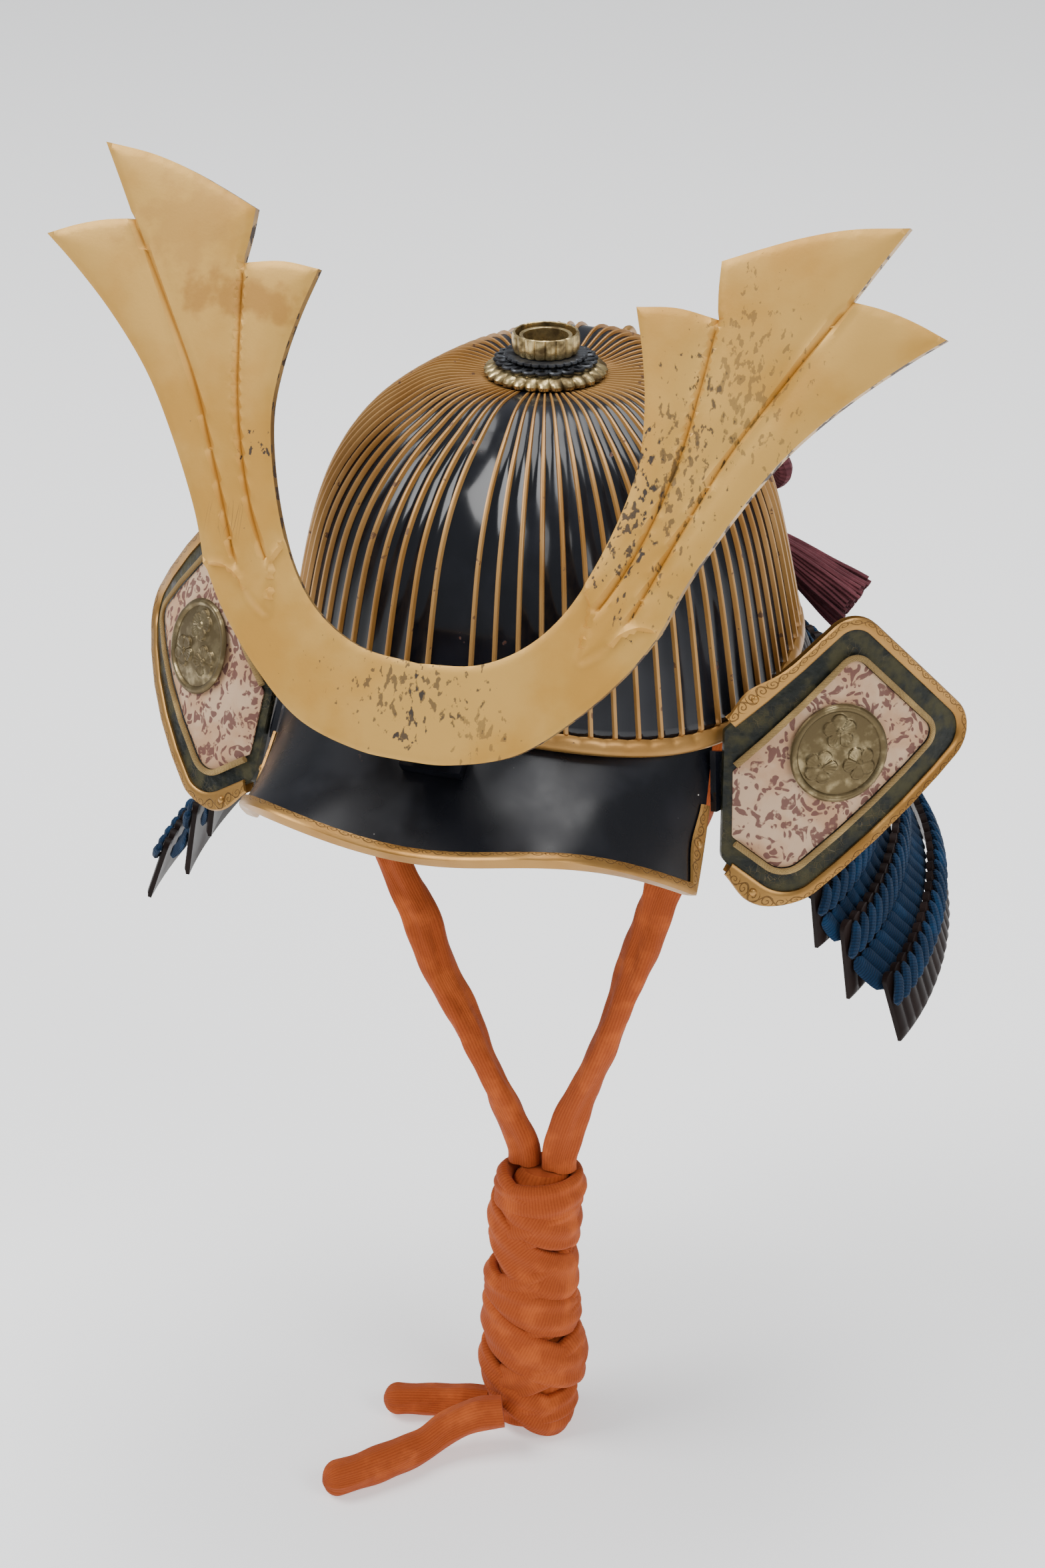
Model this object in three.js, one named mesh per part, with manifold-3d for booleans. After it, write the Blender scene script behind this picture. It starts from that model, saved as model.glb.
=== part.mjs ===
// Kabuto: a samurai's helmet with a ribbed lacquered bowl, a horned gilt crest, a visor, side turnbacks,
// a laced neck guard, a rear ring with a bow, and a chin cord wrapped into a bundle.
// Millimetres, +Z up. The origin is the centre of the bowl's base opening, and the face looks along -Y.
import * as THREE from 'three';
import { mergeVertices } from 'three/addons/utils/BufferGeometryUtils.js';
import Module from 'manifold-3d';

const wasm = await Module();
wasm.setup();

// Shared fit
const SEAT_GAP = 0.3;

// Bowl of ribbed plates
const BOWL = {
  halfWidth: 107, front: 111, rear: 114, squareness: 2.15,
  heightFront: 116, heightSide: 119, heightRear: 130,
  crownHeight: 112, crownFlatRadius: 27, crownBlend: 34, holeRadius: 12.5,
  taper: 0.225, wall: 2.2, ribCount: 68, widePlateAngle: 10, ribHeight: 1.9, ribAngle: 1.5,
};
// The lower edge dips at the temples.
const RIM = { dip: 13, dipAzimuth: 62, dipSpread: 60 };
const MOULDING = { height: 4.4, overhang: 3, inset: 1.6 };

// Visor: the lower edge bows down at the temples.
const VISOR = {
  halfAngle: 60, wall: 2.2, halfWidth: 100, reach: 157, drop: 38,
  endReach: 89, endDrop: 69, hollow: 3,
};
const TRIM = { wall: 1.1, lip: 3.4, leafLip: 4.2, gap: 0.5 };

// Crown fitting, tier by tier from the bowl up
const CROWN = {
  baseRadius: 26, baseHeight: 5, basePetals: 28,
  loopRadius: 22, loopHeight: 2.4, loops: 22, loopWidth: 3, loopLength: 5.2,
  discRadius: 17.6, discHeight: 1.6, discTeeth: 20,
  cupRadius: 14.2, cupHeight: 8.6, cupPetals: 18, cupWall: 1.4,
  tubeRadius: 11.2, tubeBore: 9.5, tubeRise: 1.4,
};

// Crest board
const CREST = {
  halfSpan: 189, height: 227.5, thickness: 3.2, relief: 1,
  lean: 24.9, footForward: 155.8, footUp: 2.6,
};
const HOLDER = { width: 17, thickness: 5, rise: 22, footLow: 0.66, footHigh: 0.84, stem: 0.76 };

// Side turnbacks: one place beside the bowl, and what differs between the sides
const PLATE = { length: 123, breadth: 119, wall: 2.5, bulge: 0.004, bends: 15 };
const PANEL = { wall: 1, braid: 1.3 };
const MEDALLION = { radius: 21, height: 2.6, out: 0, up: -2 };
const TURNBACK = { beyondBowl: 37, forward: 40.5, down: 17 };
const TURNBACKS = [
  { side: 'right', mirror: 1, further: 0, higher: 0, azimuth: 36, tilt: 7 },
  { side: 'left', mirror: -1, further: 0.6, higher: 1, azimuth: 32, tilt: 18 },
];
const ROOT = { thickness: 2.4, height: 18, plateUp: 0.3, plateDown: 26 };

// Neck guard
const GUARD = { flare: 76, drop: 136, rearShare: 0.8, wall: 2.5, frontAngle: 69, lastFrontAngle: 78 };
const LACING = { row: 3.2, rowLow: 0.6, rowHigh: 0.86, hang: 2.8, hangHigh: 0.5, hangLow: 0.72 };
const GUARD_STEPS = 15;

// Rear ring, bow and tassels
const RING = { seat: 0.05, radius: 10, wire: 1.8, eye: 5.1, staple: 1.3, climb: 26, lean: 15, hang: -26 };
const WASHER = { radius: 4.6, height: 1 };
const BOW = {
  cord: 3.8, halfWidth: 72, loopHeight: 8, drape: 18, behindBowl: 4.5, up: 42, knotWidth: 20, knotHeight: 20,
};
const TASSEL = {
  length: 68, headRadius: 7, endRadius: 14.5, locks: 7, aside: 48, down: 28,
  way: { aside: 60, back: 0, up: -38 },
};

// Chin cord
const STRAND_RADIUS = 7;
const TAIL_RADIUS = 9;
const LOOP = { radius: 7, wire: 1.5, insideBowl: 15, forward: -9, up: 1.2 };
const BUNDLE = { top: -272.8, height: 144.2, width: 48, depth: 42, forward: -4, strandsAside: 8.6 };

// Routes of the free cord, chosen point by point. A strand goes out from the bundle to its loop.
const STRAND_LEFT = [
  { out: 1, forward: -9, up: -0.8 }, { out: 0.994, forward: -9, up: -20 },
  { out: 0.94, forward: -9, up: -62 }, { out: 0.73, forward: -8.2, up: -125 },
  { out: 0.586, forward: -7.2, up: -150 },
  { out: 0.484, forward: -6.4, up: -176 }, { out: 0.347, forward: -5.2, up: -199 },
  { out: 0.239, forward: -4.4, up: -220 }, { out: 0.119, forward: -3.4, up: -242 },
  { out: 0.024, forward: -2.8, up: -260 }, { out: 0.002, forward: -2.6, up: -267 },
  { out: 0, forward: -2.6, up: -272.2 },
];
const STRAND_RIGHT = [
  { out: 1, forward: -9, up: -0.8 }, { out: 0.97, forward: -9, up: -20 },
  { out: 0.832, forward: -8.6, up: -62 },
  { out: 0.586, forward: -7.4, up: -117 }, { out: 0.508, forward: -6.6, up: -140 },
  { out: 0.412, forward: -6, up: -164 }, { out: 0.317, forward: -5, up: -190 },
  { out: 0.203, forward: -4.2, up: -217 }, { out: 0.101, forward: -3.4, up: -238 },
  { out: 0.034, forward: -2.8, up: -256 }, { out: 0.005, forward: -2.6, up: -266 },
  { out: 0, forward: -2.6, up: -272.2 },
];
const TAIL_FRONT = [
  { across: -8.4, forward: -30.5, up: -396 }, { across: -20, forward: -36, up: -397.5 },
  { across: -31, forward: -44, up: -402 }, { across: -40, forward: -54, up: -408 },
  { across: -50, forward: -70, up: -408 }, { across: -61, forward: -85, up: -408 },
  { across: -72, forward: -97, up: -408 },
];
const TAIL_REAR = [
  { across: -24, forward: -10.8, up: -408 }, { across: -42, forward: -16.5, up: -408 },
  { across: -58, forward: -22, up: -408 }, { across: -72, forward: -27, up: -408 },
];

const rad = THREE.MathUtils.degToRad;
const { lerp, smoothstep } = THREE.MathUtils;
const V = (x, y, z) => new THREE.Vector3(x, y, z);
const range = (n) => Array.from({ length: n }, (_, i) => i);

// Materials
function finish(color, roughness, metalness) {
  return new THREE.MeshStandardMaterial({ color, roughness, metalness });
}
const MATERIALS = {
  blackLacquer: finish(0x14141a, 0.18, 0),
  brownLacquer: finish(0x2b211d, 0.3, 0),
  gilt: finish(0xc79a4e, 0.38, 0.85),
  crestGold: finish(0xd9b36c, 0.45, 0.55),
  patina: finish(0x3c4048, 0.5, 0.7),
  brass: finish(0x8d8363, 0.35, 0.9),
  darkLeather: finish(0x23281f, 0.6, 0),
  printedLeather: finish(0xcfae92, 0.75, 0),
  goldBraid: finish(0xb89a5b, 0.6, 0.2),
  blueSilk: finish(0x17406b, 0.8, 0),
  purpleSilk: finish(0x7a4752, 0.85, 0),
  orangeCotton: finish(0xc9531f, 0.9, 0),
};

const group = new THREE.Group();
function put(name, geometry, material) {
  const mesh = new THREE.Mesh(geometry, MATERIALS[material]);
  mesh.name = name;
  group.add(mesh);
  return mesh;
}

// A closed surface gathered from lines of points.
class Skin {
  constructor() {
    this.points = [];
    this.faces = [];
  }

  line(points) {
    return points.map((p) => this.points.push(p) - 1);
  }

  // Joins two lines that run the same way; their counts may differ.
  strip(a, b, closed) {
    const na = closed ? a.length : a.length - 1;
    const nb = closed ? b.length : b.length - 1;
    let i = 0;
    let j = 0;
    while (i < na || j < nb) {
      const p = a[i % a.length];
      const q = b[j % b.length];
      if (i < na && (j >= nb || (i + 1) * nb <= (j + 1) * na)) {
        i += 1;
        this.faces.push([p, a[i % a.length], q]);
      } else {
        j += 1;
        this.faces.push([p, b[j % b.length], q]);
      }
    }
  }

  // Closes a flat end; the contour gives the same points in two dimensions.
  cap(ids, contour, flip) {
    const area = THREE.ShapeUtils.area(contour);
    for (const t of THREE.ShapeUtils.triangulateShape(contour, [])) {
      const turn = THREE.ShapeUtils.area(t.map((k) => contour[k])) * area > 0;
      const [a, b, c] = turn === flip ? [t[2], t[1], t[0]] : t;
      this.faces.push([ids[a], ids[b], ids[c]]);
    }
  }

  geometry() {
    let volume = 0;
    for (const [a, b, c] of this.faces) {
      volume += this.points[a].dot(this.points[b].clone().cross(this.points[c]));
    }
    const index = this.faces.flatMap(([a, b, c]) => (volume > 0 ? [a, b, c] : [a, c, b]));
    const g = new THREE.BufferGeometry();
    const places = this.points.flatMap((p) => [p.x, p.y, p.z]);
    g.setAttribute('position', new THREE.Float32BufferAttribute(places, 3));
    g.setIndex(index);
    return g;
  }
}

// A ring-shaped solid from closed lines, each running round the axis.
function ringSolid(rings) {
  const skin = new Skin();
  const ids = rings.map((r) => skin.line(r));
  ids.forEach((ring, k) => skin.strip(ring, ids[(k + 1) % ids.length], true));
  return skin.geometry();
}

// A solid swept through sections; contour is a section's outline in two dimensions.
function sweptSolid(sections, contour, closed = false) {
  const skin = new Skin();
  const ids = sections.map((s) => skin.line(s));
  const lines = contour.map((_, k) => ids.map((s) => s[k]));
  lines.forEach((line, k) => skin.strip(line, lines[(k + 1) % lines.length], closed));
  if (!closed) {
    skin.cap(ids[0], contour, false);
    skin.cap(ids[ids.length - 1], contour, true);
  }
  return skin.geometry();
}

// A wall of even thickness behind a surface; u runs along it and v across it.
function sheetSolid(surface, us, vs, wall, inset = 0) {
  const step = 1e-3;
  const at = (u, v) => {
    const p = surface(u, v);
    const du = surface(u + step, v).sub(surface(u - step, v));
    const dv = surface(u, v + step).sub(surface(u, v - step));
    const n = du.cross(dv).normalize();
    return [p.clone().addScaledVector(n, -inset), p.clone().addScaledVector(n, -inset - wall)];
  };
  const sections = us.map((u) => {
    const pairs = vs.map((v) => at(u, v));
    return [...pairs.map((q) => q[0]), ...pairs.map((q) => q[1]).reverse()];
  });
  const n = vs.length;
  const round = [...vs, ...[...vs].reverse()];
  const contour = round.map((v, k) => new THREE.Vector2(k < n ? 1 : 0, v));
  return sweptSolid(sections, contour);
}

function tube(route, radius, sides, steps) {
  return sweepAlong(new THREE.CatmullRomCurve3(route), radius, sides, steps);
}

function sweepAlong(curve, radius, sides, steps) {
  const circle = new THREE.Shape(range(sides).map((k) => {
    const a = (k / sides) * 2 * Math.PI;
    return new THREE.Vector2(radius * Math.cos(a), radius * Math.sin(a));
  }));
  return new THREE.ExtrudeGeometry(circle, { steps, extrudePath: curve });
}

function solidOf(geometry) {
  const g = geometry.clone();
  g.deleteAttribute('normal');
  g.deleteAttribute('uv');
  const merged = mergeVertices(g, 1e-4);
  return new wasm.Manifold(new wasm.Mesh({
    numProp: 3,
    vertProperties: new Float32Array(merged.attributes.position.array),
    triVerts: new Uint32Array(merged.index.array),
  }));
}

function geometryOf(solid) {
  const mesh = solid.getMesh();
  const g = new THREE.BufferGeometry();
  g.setAttribute('position', new THREE.BufferAttribute(new Float32Array(mesh.vertProperties), 3));
  g.setIndex(new THREE.BufferAttribute(new Uint32Array(mesh.triVerts), 1));
  return g;
}

const joined = (list) => geometryOf(list.map(solidOf).reduce((a, b) => a.add(b)));

// The bowl's plan radius at an azimuth counted from the front toward +X.
function planRadius(phi) {
  const s = Math.abs(Math.sin(phi)) / BOWL.halfWidth;
  const c = Math.abs(Math.cos(phi)) / (Math.cos(phi) > 0 ? BOWL.front : BOWL.rear);
  return (s ** BOWL.squareness + c ** BOWL.squareness) ** (-1 / BOWL.squareness);
}

function rimUp(phi) {
  const away = Math.min(1, Math.abs(Math.abs(phi > Math.PI ? phi - 2 * Math.PI : phi) - rad(RIM.dipAzimuth))
    / rad(RIM.dipSpread));
  return -RIM.dip * 0.5 * (1 + Math.cos(Math.PI * away));
}

const polar = (phi, radius, z) => V(radius * Math.sin(phi), -radius * Math.cos(phi), z);
const onRim = (phi, out, down) => polar(phi, planRadius(phi) + out, rimUp(phi) - down);

// A point of the bowl's smooth outer face; climb runs from 0 at the rim to a quarter turn at the top.
function bowlFace(phi, climb) {
  const c = Math.cos(phi);
  const height = BOWL.heightSide + c * c * ((c > 0 ? BOWL.heightFront : BOWL.heightRear) - BOWL.heightSide);
  const rise = Math.sin(climb) ** 0.4;
  const share = Math.cos(climb) * (1 - BOWL.taper * rise);
  const round = smoothstep(rise, 0.5, 1);
  const radius = share * lerp(planRadius(phi), BOWL.halfWidth, round);
  const toCrown = smoothstep(radius, BOWL.crownFlatRadius, BOWL.crownFlatRadius + BOWL.crownBlend);
  const z = lerp(BOWL.crownHeight, height * rise, toCrown) + rimUp(phi) * (1 - rise) ** 2;
  return { radius, z };
}

// Azimuths of the ribs: one wide plate at the front and one at the back.
const RIB_AZIMUTHS = [1, 0].flatMap((front) => {
  const half = BOWL.ribCount / 2;
  const pitch = (180 - BOWL.widePlateAngle) / (half - 1);
  return range(half).map((k) => (front ? 0 : 180) + BOWL.widePlateAngle / 2 + k * pitch);
});

function makeBowl() {
  const climbs = [0, 12, 30, 52, 72];
  const innerAzimuths = RIB_AZIMUTHS.filter((_, k) => k % 2 === 0);
  const outer = climbs.map((deg, row) => RIB_AZIMUTHS.flatMap((az) => {
    const crest = BOWL.ribHeight * (row === climbs.length - 1 ? 0.45 : 1);
    return [[-BOWL.ribAngle, 0], [0, crest], [BOWL.ribAngle, 0]].map(([turn, lift]) => {
      const f = bowlFace(rad(az + turn), rad(deg));
      const slope = rad(deg);
      return polar(rad(az + turn), f.radius + lift * Math.cos(slope), f.z + lift * Math.sin(slope));
    });
  }));
  const plain = (radius, z) => innerAzimuths.map((az) => polar(rad(az), radius, z));
  const inner = climbs.map((deg) => innerAzimuths.map((az) => {
    const f = bowlFace(rad(az), rad(deg));
    const slope = rad(deg);
    const drop = deg === 0 ? 0 : BOWL.wall * Math.sin(slope);
    return polar(rad(az), f.radius - BOWL.wall * Math.cos(slope), f.z - drop);
  }));
  return ringSolid([
    ...outer,
    plain(BOWL.crownFlatRadius, BOWL.crownHeight),
    plain(BOWL.holeRadius, BOWL.crownHeight),
    plain(BOWL.holeRadius, BOWL.crownHeight - BOWL.wall),
    plain(BOWL.crownFlatRadius, BOWL.crownHeight - BOWL.wall),
    ...inner.reverse(),
  ]);
}
put('bowl', makeBowl(), 'blackLacquer');

// Gilt moulding under the bowl's lower edge
function makeMoulding() {
  const { overhang, inset, height } = MOULDING;
  const half = height / 2;
  const section = [[-inset, 0], [overhang * 0.6, 0], [overhang, -half * 0.7], [overhang, -half * 1.3],
    [overhang * 0.6, -height], [-inset, -height]];
  const around = range(48).map((k) => rad(k * 7.5));
  return ringSolid(section.map(([out, up]) => around.map((phi) => onRim(phi, out, SEAT_GAP - up))));
}
put('bowl_moulding', makeMoulding(), 'gilt');

// Visor. u runs from -1 at the left end to 1 at the right end, v from 0 at the lower edge to 1 at the bowl.
const UNDER_MOULDING = MOULDING.height + 2 * SEAT_GAP;
function visorFace(u, v) {
  const top = onRim(rad(u * VISOR.halfAngle), -0.2, UNDER_MOULDING + 0.2);
  const x = top.x * (VISOR.halfWidth / onRim(rad(VISOR.halfAngle), 0, 0).x);
  const s = x / VISOR.halfWidth;
  const reach = VISOR.reach - (VISOR.reach - VISOR.endReach) * (1.29 * s ** 4 - 0.29 * s ** 2);
  const drop = VISOR.drop + (VISOR.endDrop - VISOR.drop) * (2.49 * s ** 4 - 1.49 * s ** 2);
  const low = V(x, -reach, -drop);
  const sag = VISOR.hollow * 4 * v * (1 - v);
  return low.lerp(top, v).add(V(0, sag * 0.6, -sag * 0.6));
}
const spread = (n) => range(n).map((k) => k / (n - 1));
const VISOR_US = spread(19).map((t) => 2 * t - 1);
put('visor', sheetSolid((u, v) => visorFace(u, v), VISOR_US, [0, 0.33, 0.66, 1], VISOR.wall), 'blackLacquer');

// A gilt channel that grips an edge. Each station has the edge point, the way out and the face's normal.
function edgeTrim(stations, wall) {
  const g = TRIM.gap;
  const t = TRIM.wall;
  const low = -wall - g;
  const profile = (lip) => [[-lip, g], [-lip + t / 2, g + t], [g, g + t], [g + t, g], [g + t, low],
    [g, low - t], [-TRIM.lip, low], [g, low], [g, g]];
  const sections = stations.map(({ point, out, normal, lip }) => profile(lip)
    .map(([o, n]) => point.clone().addScaledVector(out, o).addScaledVector(normal, n)));
  return sweptSolid(sections, profile(TRIM.lip).map(([o, n]) => new THREE.Vector2(o, n)));
}

function surfaceNormal(surface, u, v) {
  const step = 1e-3;
  const du = surface(u + step, v).sub(surface(u - step, v));
  const dv = surface(u, v + step).sub(surface(u, v - step));
  return du.cross(dv).normalize();
}

// Follows a path of (u, v) places along a surface's edge.
function edgeStations(surface, path, lips) {
  const points = path.map(([u, v]) => surface(u, v));
  return points.map((point, k) => {
    const next = points[Math.min(k + 1, points.length - 1)];
    const along = next.clone().sub(points[Math.max(k - 1, 0)]).normalize();
    const ahead = k + 1 < points.length ? next.clone().sub(point).normalize() : along;
    const normal = surfaceNormal(surface, ...path[k]);
    // A mitre at a corner reaches further out.
    const out = along.clone().cross(normal).normalize().divideScalar(Math.max(0.7, along.dot(ahead)));
    return { point, out, normal, lip: lips(k / (points.length - 1)) };
  });
}

function makeVisorTrim() {
  const low = VISOR_US.slice(1, -1).map((u) => [u, 0]);
  const path = [[-1, 0.6], [-1, 0.33], [-1, 0], ...low, [1, 0], [1, 0.33], [1, 0.6]];
  const leaf = (t) => TRIM.lip + TRIM.leafLip * Math.exp(-(((Math.min(t, 1 - t) - 0.05) / 0.035) ** 2));
  return edgeTrim(edgeStations(visorFace, path, leaf), VISOR.wall);
}
put('visor_trim', makeVisorTrim(), 'gilt');

// Crown fitting
function scallopedRing(levels, count, depth, columns) {
  const n = count * columns;
  return ringSolid(levels.map(([radius, z, wave]) => range(n).map((k) => {
    const lobe = Math.abs(Math.sin((Math.PI * k) / columns));
    return polar((2 * Math.PI * k) / n, radius - wave * depth * (1 - lobe), z);
  })));
}
const crownBase = BOWL.crownHeight + SEAT_GAP;
const loopBase = crownBase + CROWN.baseHeight + SEAT_GAP;
const discBase = loopBase + CROWN.loopHeight + SEAT_GAP;
const cupBase = discBase + CROWN.discHeight + SEAT_GAP;
const boreClear = CROWN.tubeRadius + SEAT_GAP;

function makeCrownBase() {
  const { baseRadius: r, baseHeight: h, basePetals } = CROWN;
  return scallopedRing([[boreClear, crownBase, 0], [r - 1.5, crownBase, 1], [r, crownBase + h * 0.45, 1],
    [r - 5, crownBase + h, 0.5], [boreClear, crownBase + h, 0]], basePetals, 1.6, 2);
}
put('crown_petal_base', makeCrownBase(), 'brass');

function makeLoopRing() {
  const { loopRadius: r, loopHeight: h, loops, loopWidth, loopLength } = CROWN;
  const ring = scallopedRing([[boreClear, loopBase, 0], [r, loopBase, 1],
    [r, loopBase + h * 0.7, 1], [boreClear, loopBase + h, 0]], loops, 1.5, 2);
  const slots = range(loops).map((k) => {
    const slot = new THREE.CylinderGeometry(1, 1, 4 * h, 4);
    slot.rotateX(Math.PI / 2);
    slot.scale(loopWidth / 2, loopLength / 2, 1);
    slot.translate(0, -(r - 1.6 - loopLength / 2), loopBase + h / 2);
    slot.rotateZ((2 * Math.PI * (k + 0.5)) / loops);
    return solidOf(slot);
  });
  return geometryOf(slots.reduce((a, b) => a.subtract(b), solidOf(ring)));
}
put('crown_loop_ring', makeLoopRing(), 'patina');

function makeToothedDisc() {
  const { discRadius: r, discHeight: h, discTeeth } = CROWN;
  return scallopedRing([[boreClear, discBase, 0], [r, discBase, 1], [r, discBase + h, 1],
    [boreClear, discBase + h, 0]], discTeeth, 1.2, 2);
}
put('crown_toothed_disc', makeToothedDisc(), 'patina');

function makeCup() {
  const { cupRadius: r, cupHeight: h, cupPetals, cupWall } = CROWN;
  const floor = cupBase + 1.6;
  return scallopedRing([[boreClear, cupBase, 0], [r - 0.8, cupBase, 1], [r, cupBase + h * 0.5, 1],
    [r, cupBase + h, 0.4], [r - cupWall, cupBase + h, 0.2], [r - cupWall, floor, 0.2],
    [boreClear, floor, 0]], cupPetals, 0.9, 2);
}
put('crown_petal_cup', makeCup(), 'gilt');

function makeTube() {
  const top = cupBase + CROWN.cupHeight - CROWN.tubeRise;
  const foot = BOWL.crownHeight - BOWL.wall - 1;
  const profile = [[CROWN.tubeBore, foot], [CROWN.tubeRadius, foot], [CROWN.tubeRadius, top],
    [CROWN.tubeBore, top], [CROWN.tubeBore, foot]];
  const g = new THREE.LatheGeometry(profile.map(([r, z]) => new THREE.Vector2(r, z)), 20);
  g.rotateX(Math.PI / 2);
  return g;
}
put('crown_tube', makeTube(), 'brass');

// Crest board, drawn on its own plane: across in shares of the half span, up in shares of the height
const CREST_INNER = [
  { across: 0.0, up: 0.169 }, { across: 0.132, up: 0.182 }, { across: 0.228, up: 0.224 },
  { across: 0.302, up: 0.292 }, { across: 0.37, up: 0.415 }, { across: 0.41, up: 0.552 },
  { across: 0.407, up: 0.64 }, { across: 0.386, up: 0.732 }, { across: 0.354, up: 0.82 },
];
const CREST_TIPS = [
  { across: 0.44, up: 0.826 }, { across: 0.529, up: 0.815 }, { across: 0.521, up: 0.864 },
  { across: 0.518, up: 0.912 }, { across: 0.592, up: 0.938 }, { across: 0.677, up: 0.965 },
  { across: 0.772, up: 0.987 }, { across: 0.892, up: 1.0 }, { across: 0.847, up: 0.938 },
  { across: 0.799, up: 0.87 }, { across: 0.868, up: 0.862 }, { across: 0.931, up: 0.848 },
  { across: 1.0, up: 0.826 },
];
const CREST_OUTER = [
  { across: 1.0, up: 0.826 }, { across: 0.931, up: 0.782 }, { across: 0.82, up: 0.701 },
  { across: 0.714, up: 0.604 }, { across: 0.63, up: 0.495 }, { across: 0.55, up: 0.367 },
  { across: 0.513, up: 0.284 },
];
const CREST_LOWER = [
  { across: 0.513, up: 0.284 }, { across: 0.458, up: 0.211 }, { across: 0.362, up: 0.119 },
  { across: 0.243, up: 0.04 }, { across: 0.095, up: 0.004 }, { across: 0.0, up: 0.0 },
];
// Carved line where the feathers rise from the plain foot of the board
const CREST_CARVING = [
  { across: 0.333, up: 0.345 }, { across: 0.36, up: 0.31 }, { across: 0.354, up: 0.257 },
  { across: 0.352, up: 0.213 }, { across: 0.397, up: 0.235 }, { across: 0.429, up: 0.27 },
  { across: 0.471, up: 0.288 }, { across: 0.513, up: 0.284 },
];
const onBoard = (row) => new THREE.Vector2(row.across * CREST.halfSpan, row.up * CREST.height);
function curved(rows, divisions) {
  return new THREE.SplineCurve(rows.map((row) => onBoard(row))).getPoints(divisions);
}
function crestHalf() {
  return [
    ...curved(CREST_INNER, 14).slice(0, -1), ...[CREST_INNER[8], ...CREST_TIPS].map((row) => onBoard(row)),
    ...curved(CREST_OUTER, 8).slice(1), ...curved(CREST_LOWER, 8).slice(1),
  ];
}
const crestPlane = new THREE.Matrix4().makeBasis(
  V(1, 0, 0),
  V(0, Math.sin(rad(CREST.lean)), Math.cos(rad(CREST.lean))),
  V(0, -Math.cos(rad(CREST.lean)), Math.sin(rad(CREST.lean))),
).setPosition(0, -CREST.footForward, CREST.footUp);
const crestDepth = CREST.thickness + CREST.relief;

function board(outline, from, to) {
  const g = new THREE.ExtrudeGeometry(new THREE.Shape(outline), { depth: to - from, bevelEnabled: false });
  g.translate(0, 0, from);
  return g;
}

function makeCrest() {
  const half = crestHalf();
  const outline = [...half, ...half.slice(1, -1).reverse().map((p) => new THREE.Vector2(-p.x, p.y))];
  const reach = CREST.halfSpan * 1.1;
  const line = CREST_CARVING.map((row) => onBoard(row));
  const edgeUp = line[line.length - 1].y;
  const right = [new THREE.Vector2(0, -reach), new THREE.Vector2(reach, -reach),
    new THREE.Vector2(reach, edgeUp), ...line.reverse(), new THREE.Vector2(0, edgeUp)];
  const left = right.map((p) => new THREE.Vector2(-p.x, p.y)).reverse();
  const foot = [...right.slice(1, -1), ...left.slice(1, -1)];
  const plain = board(foot, -CREST.relief, CREST.relief);
  const body = solidOf(board(outline, -crestDepth, 0)).subtract(solidOf(plain));
  return geometryOf(body).applyMatrix4(crestPlane);
}
put('crest_horns', makeCrest(), 'crestGold');

// Plain holder behind the crest: a foot on the visor and an arm up to the board
function makeHolder() {
  const footUs = VISOR_US.filter((u) => Math.abs(u) * VISOR.halfWidth < HOLDER.width);
  const footVs = [HOLDER.footLow, HOLDER.footHigh];
  const foot = sheetSolid(visorFace, footUs, footVs, HOLDER.thickness, -HOLDER.thickness - 2 * SEAT_GAP);
  const sine = Math.sin(rad(CREST.lean));
  const cosine = Math.cos(rad(CREST.lean));
  const back = crestDepth + SEAT_GAP;
  const place = (up, behind) => [
    -CREST.footForward + up * sine + behind * cosine,
    CREST.footUp + up * cosine - behind * sine,
  ];
  const stem = visorFace(0, HOLDER.stem);
  const arm = [place(1, back), place(HOLDER.rise, back), place(HOLDER.rise, back + HOLDER.thickness),
    [stem.y + 6, stem.z + 7.5], [stem.y - 2, stem.z + 2]];
  const shape = new THREE.Shape(arm.map(([y, z]) => new THREE.Vector2(y, z)));
  const g = new THREE.ExtrudeGeometry(shape, { depth: HOLDER.width, bevelEnabled: false });
  g.translate(0, 0, -HOLDER.width / 2);
  g.applyMatrix4(new THREE.Matrix4().makeBasis(V(0, 1, 0), V(0, 0, 1), V(1, 0, 0)));
  return joined([foot, g]);
}
put('crest_holder', makeHolder(), 'patina');

// Turnbacks. A place on a plate is out from and above the medallion.
const PLATE_CORNERS = [
  { out: -0.37, up: 0.08, radius: 0.02 }, { out: 0.065, up: 0.46, radius: 0.09 },
  { out: 0.525, up: -0.02, radius: 0.1 }, { out: -0.18, up: -0.565, radius: 0.14 },
  { out: -0.385, up: -0.39, radius: 0.05 },
];
const PANEL_CORNERS = [
  { out: -0.36, up: -0.06, radius: 0.03 }, { out: 0.06, up: 0.34, radius: 0.06 },
  { out: 0.385, up: 0.0, radius: 0.06 }, { out: -0.19, up: -0.46, radius: 0.09 },
  { out: -0.365, up: -0.31, radius: 0.03 },
];
// Rounds each corner with a few points of an arc.
function rounded(corners, shrink, arcSteps) {
  const points = corners.map((c) => new THREE.Vector2(c.out * PLATE.length, c.up * PLATE.breadth));
  return points.flatMap((p, k) => {
    const before = points[(k + points.length - 1) % points.length].clone().sub(p).normalize();
    const after = points[(k + 1) % points.length].clone().sub(p).normalize();
    const angle = Math.acos(before.dot(after));
    const radius = corners[k].radius * PLATE.length;
    const middle = before.clone().add(after).normalize();
    const centre = p.clone().addScaledVector(middle, radius / Math.sin(angle / 2));
    const r = radius + shrink;
    const start = Math.atan2(-middle.y, -middle.x);
    const turn = Math.PI - angle;
    return range(arcSteps + 1).map((i) => {
      const a = start + turn * (0.5 - i / arcSteps);
      return centre.clone().add(new THREE.Vector2(r * Math.cos(a), r * Math.sin(a)));
    });
  });
}

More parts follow.
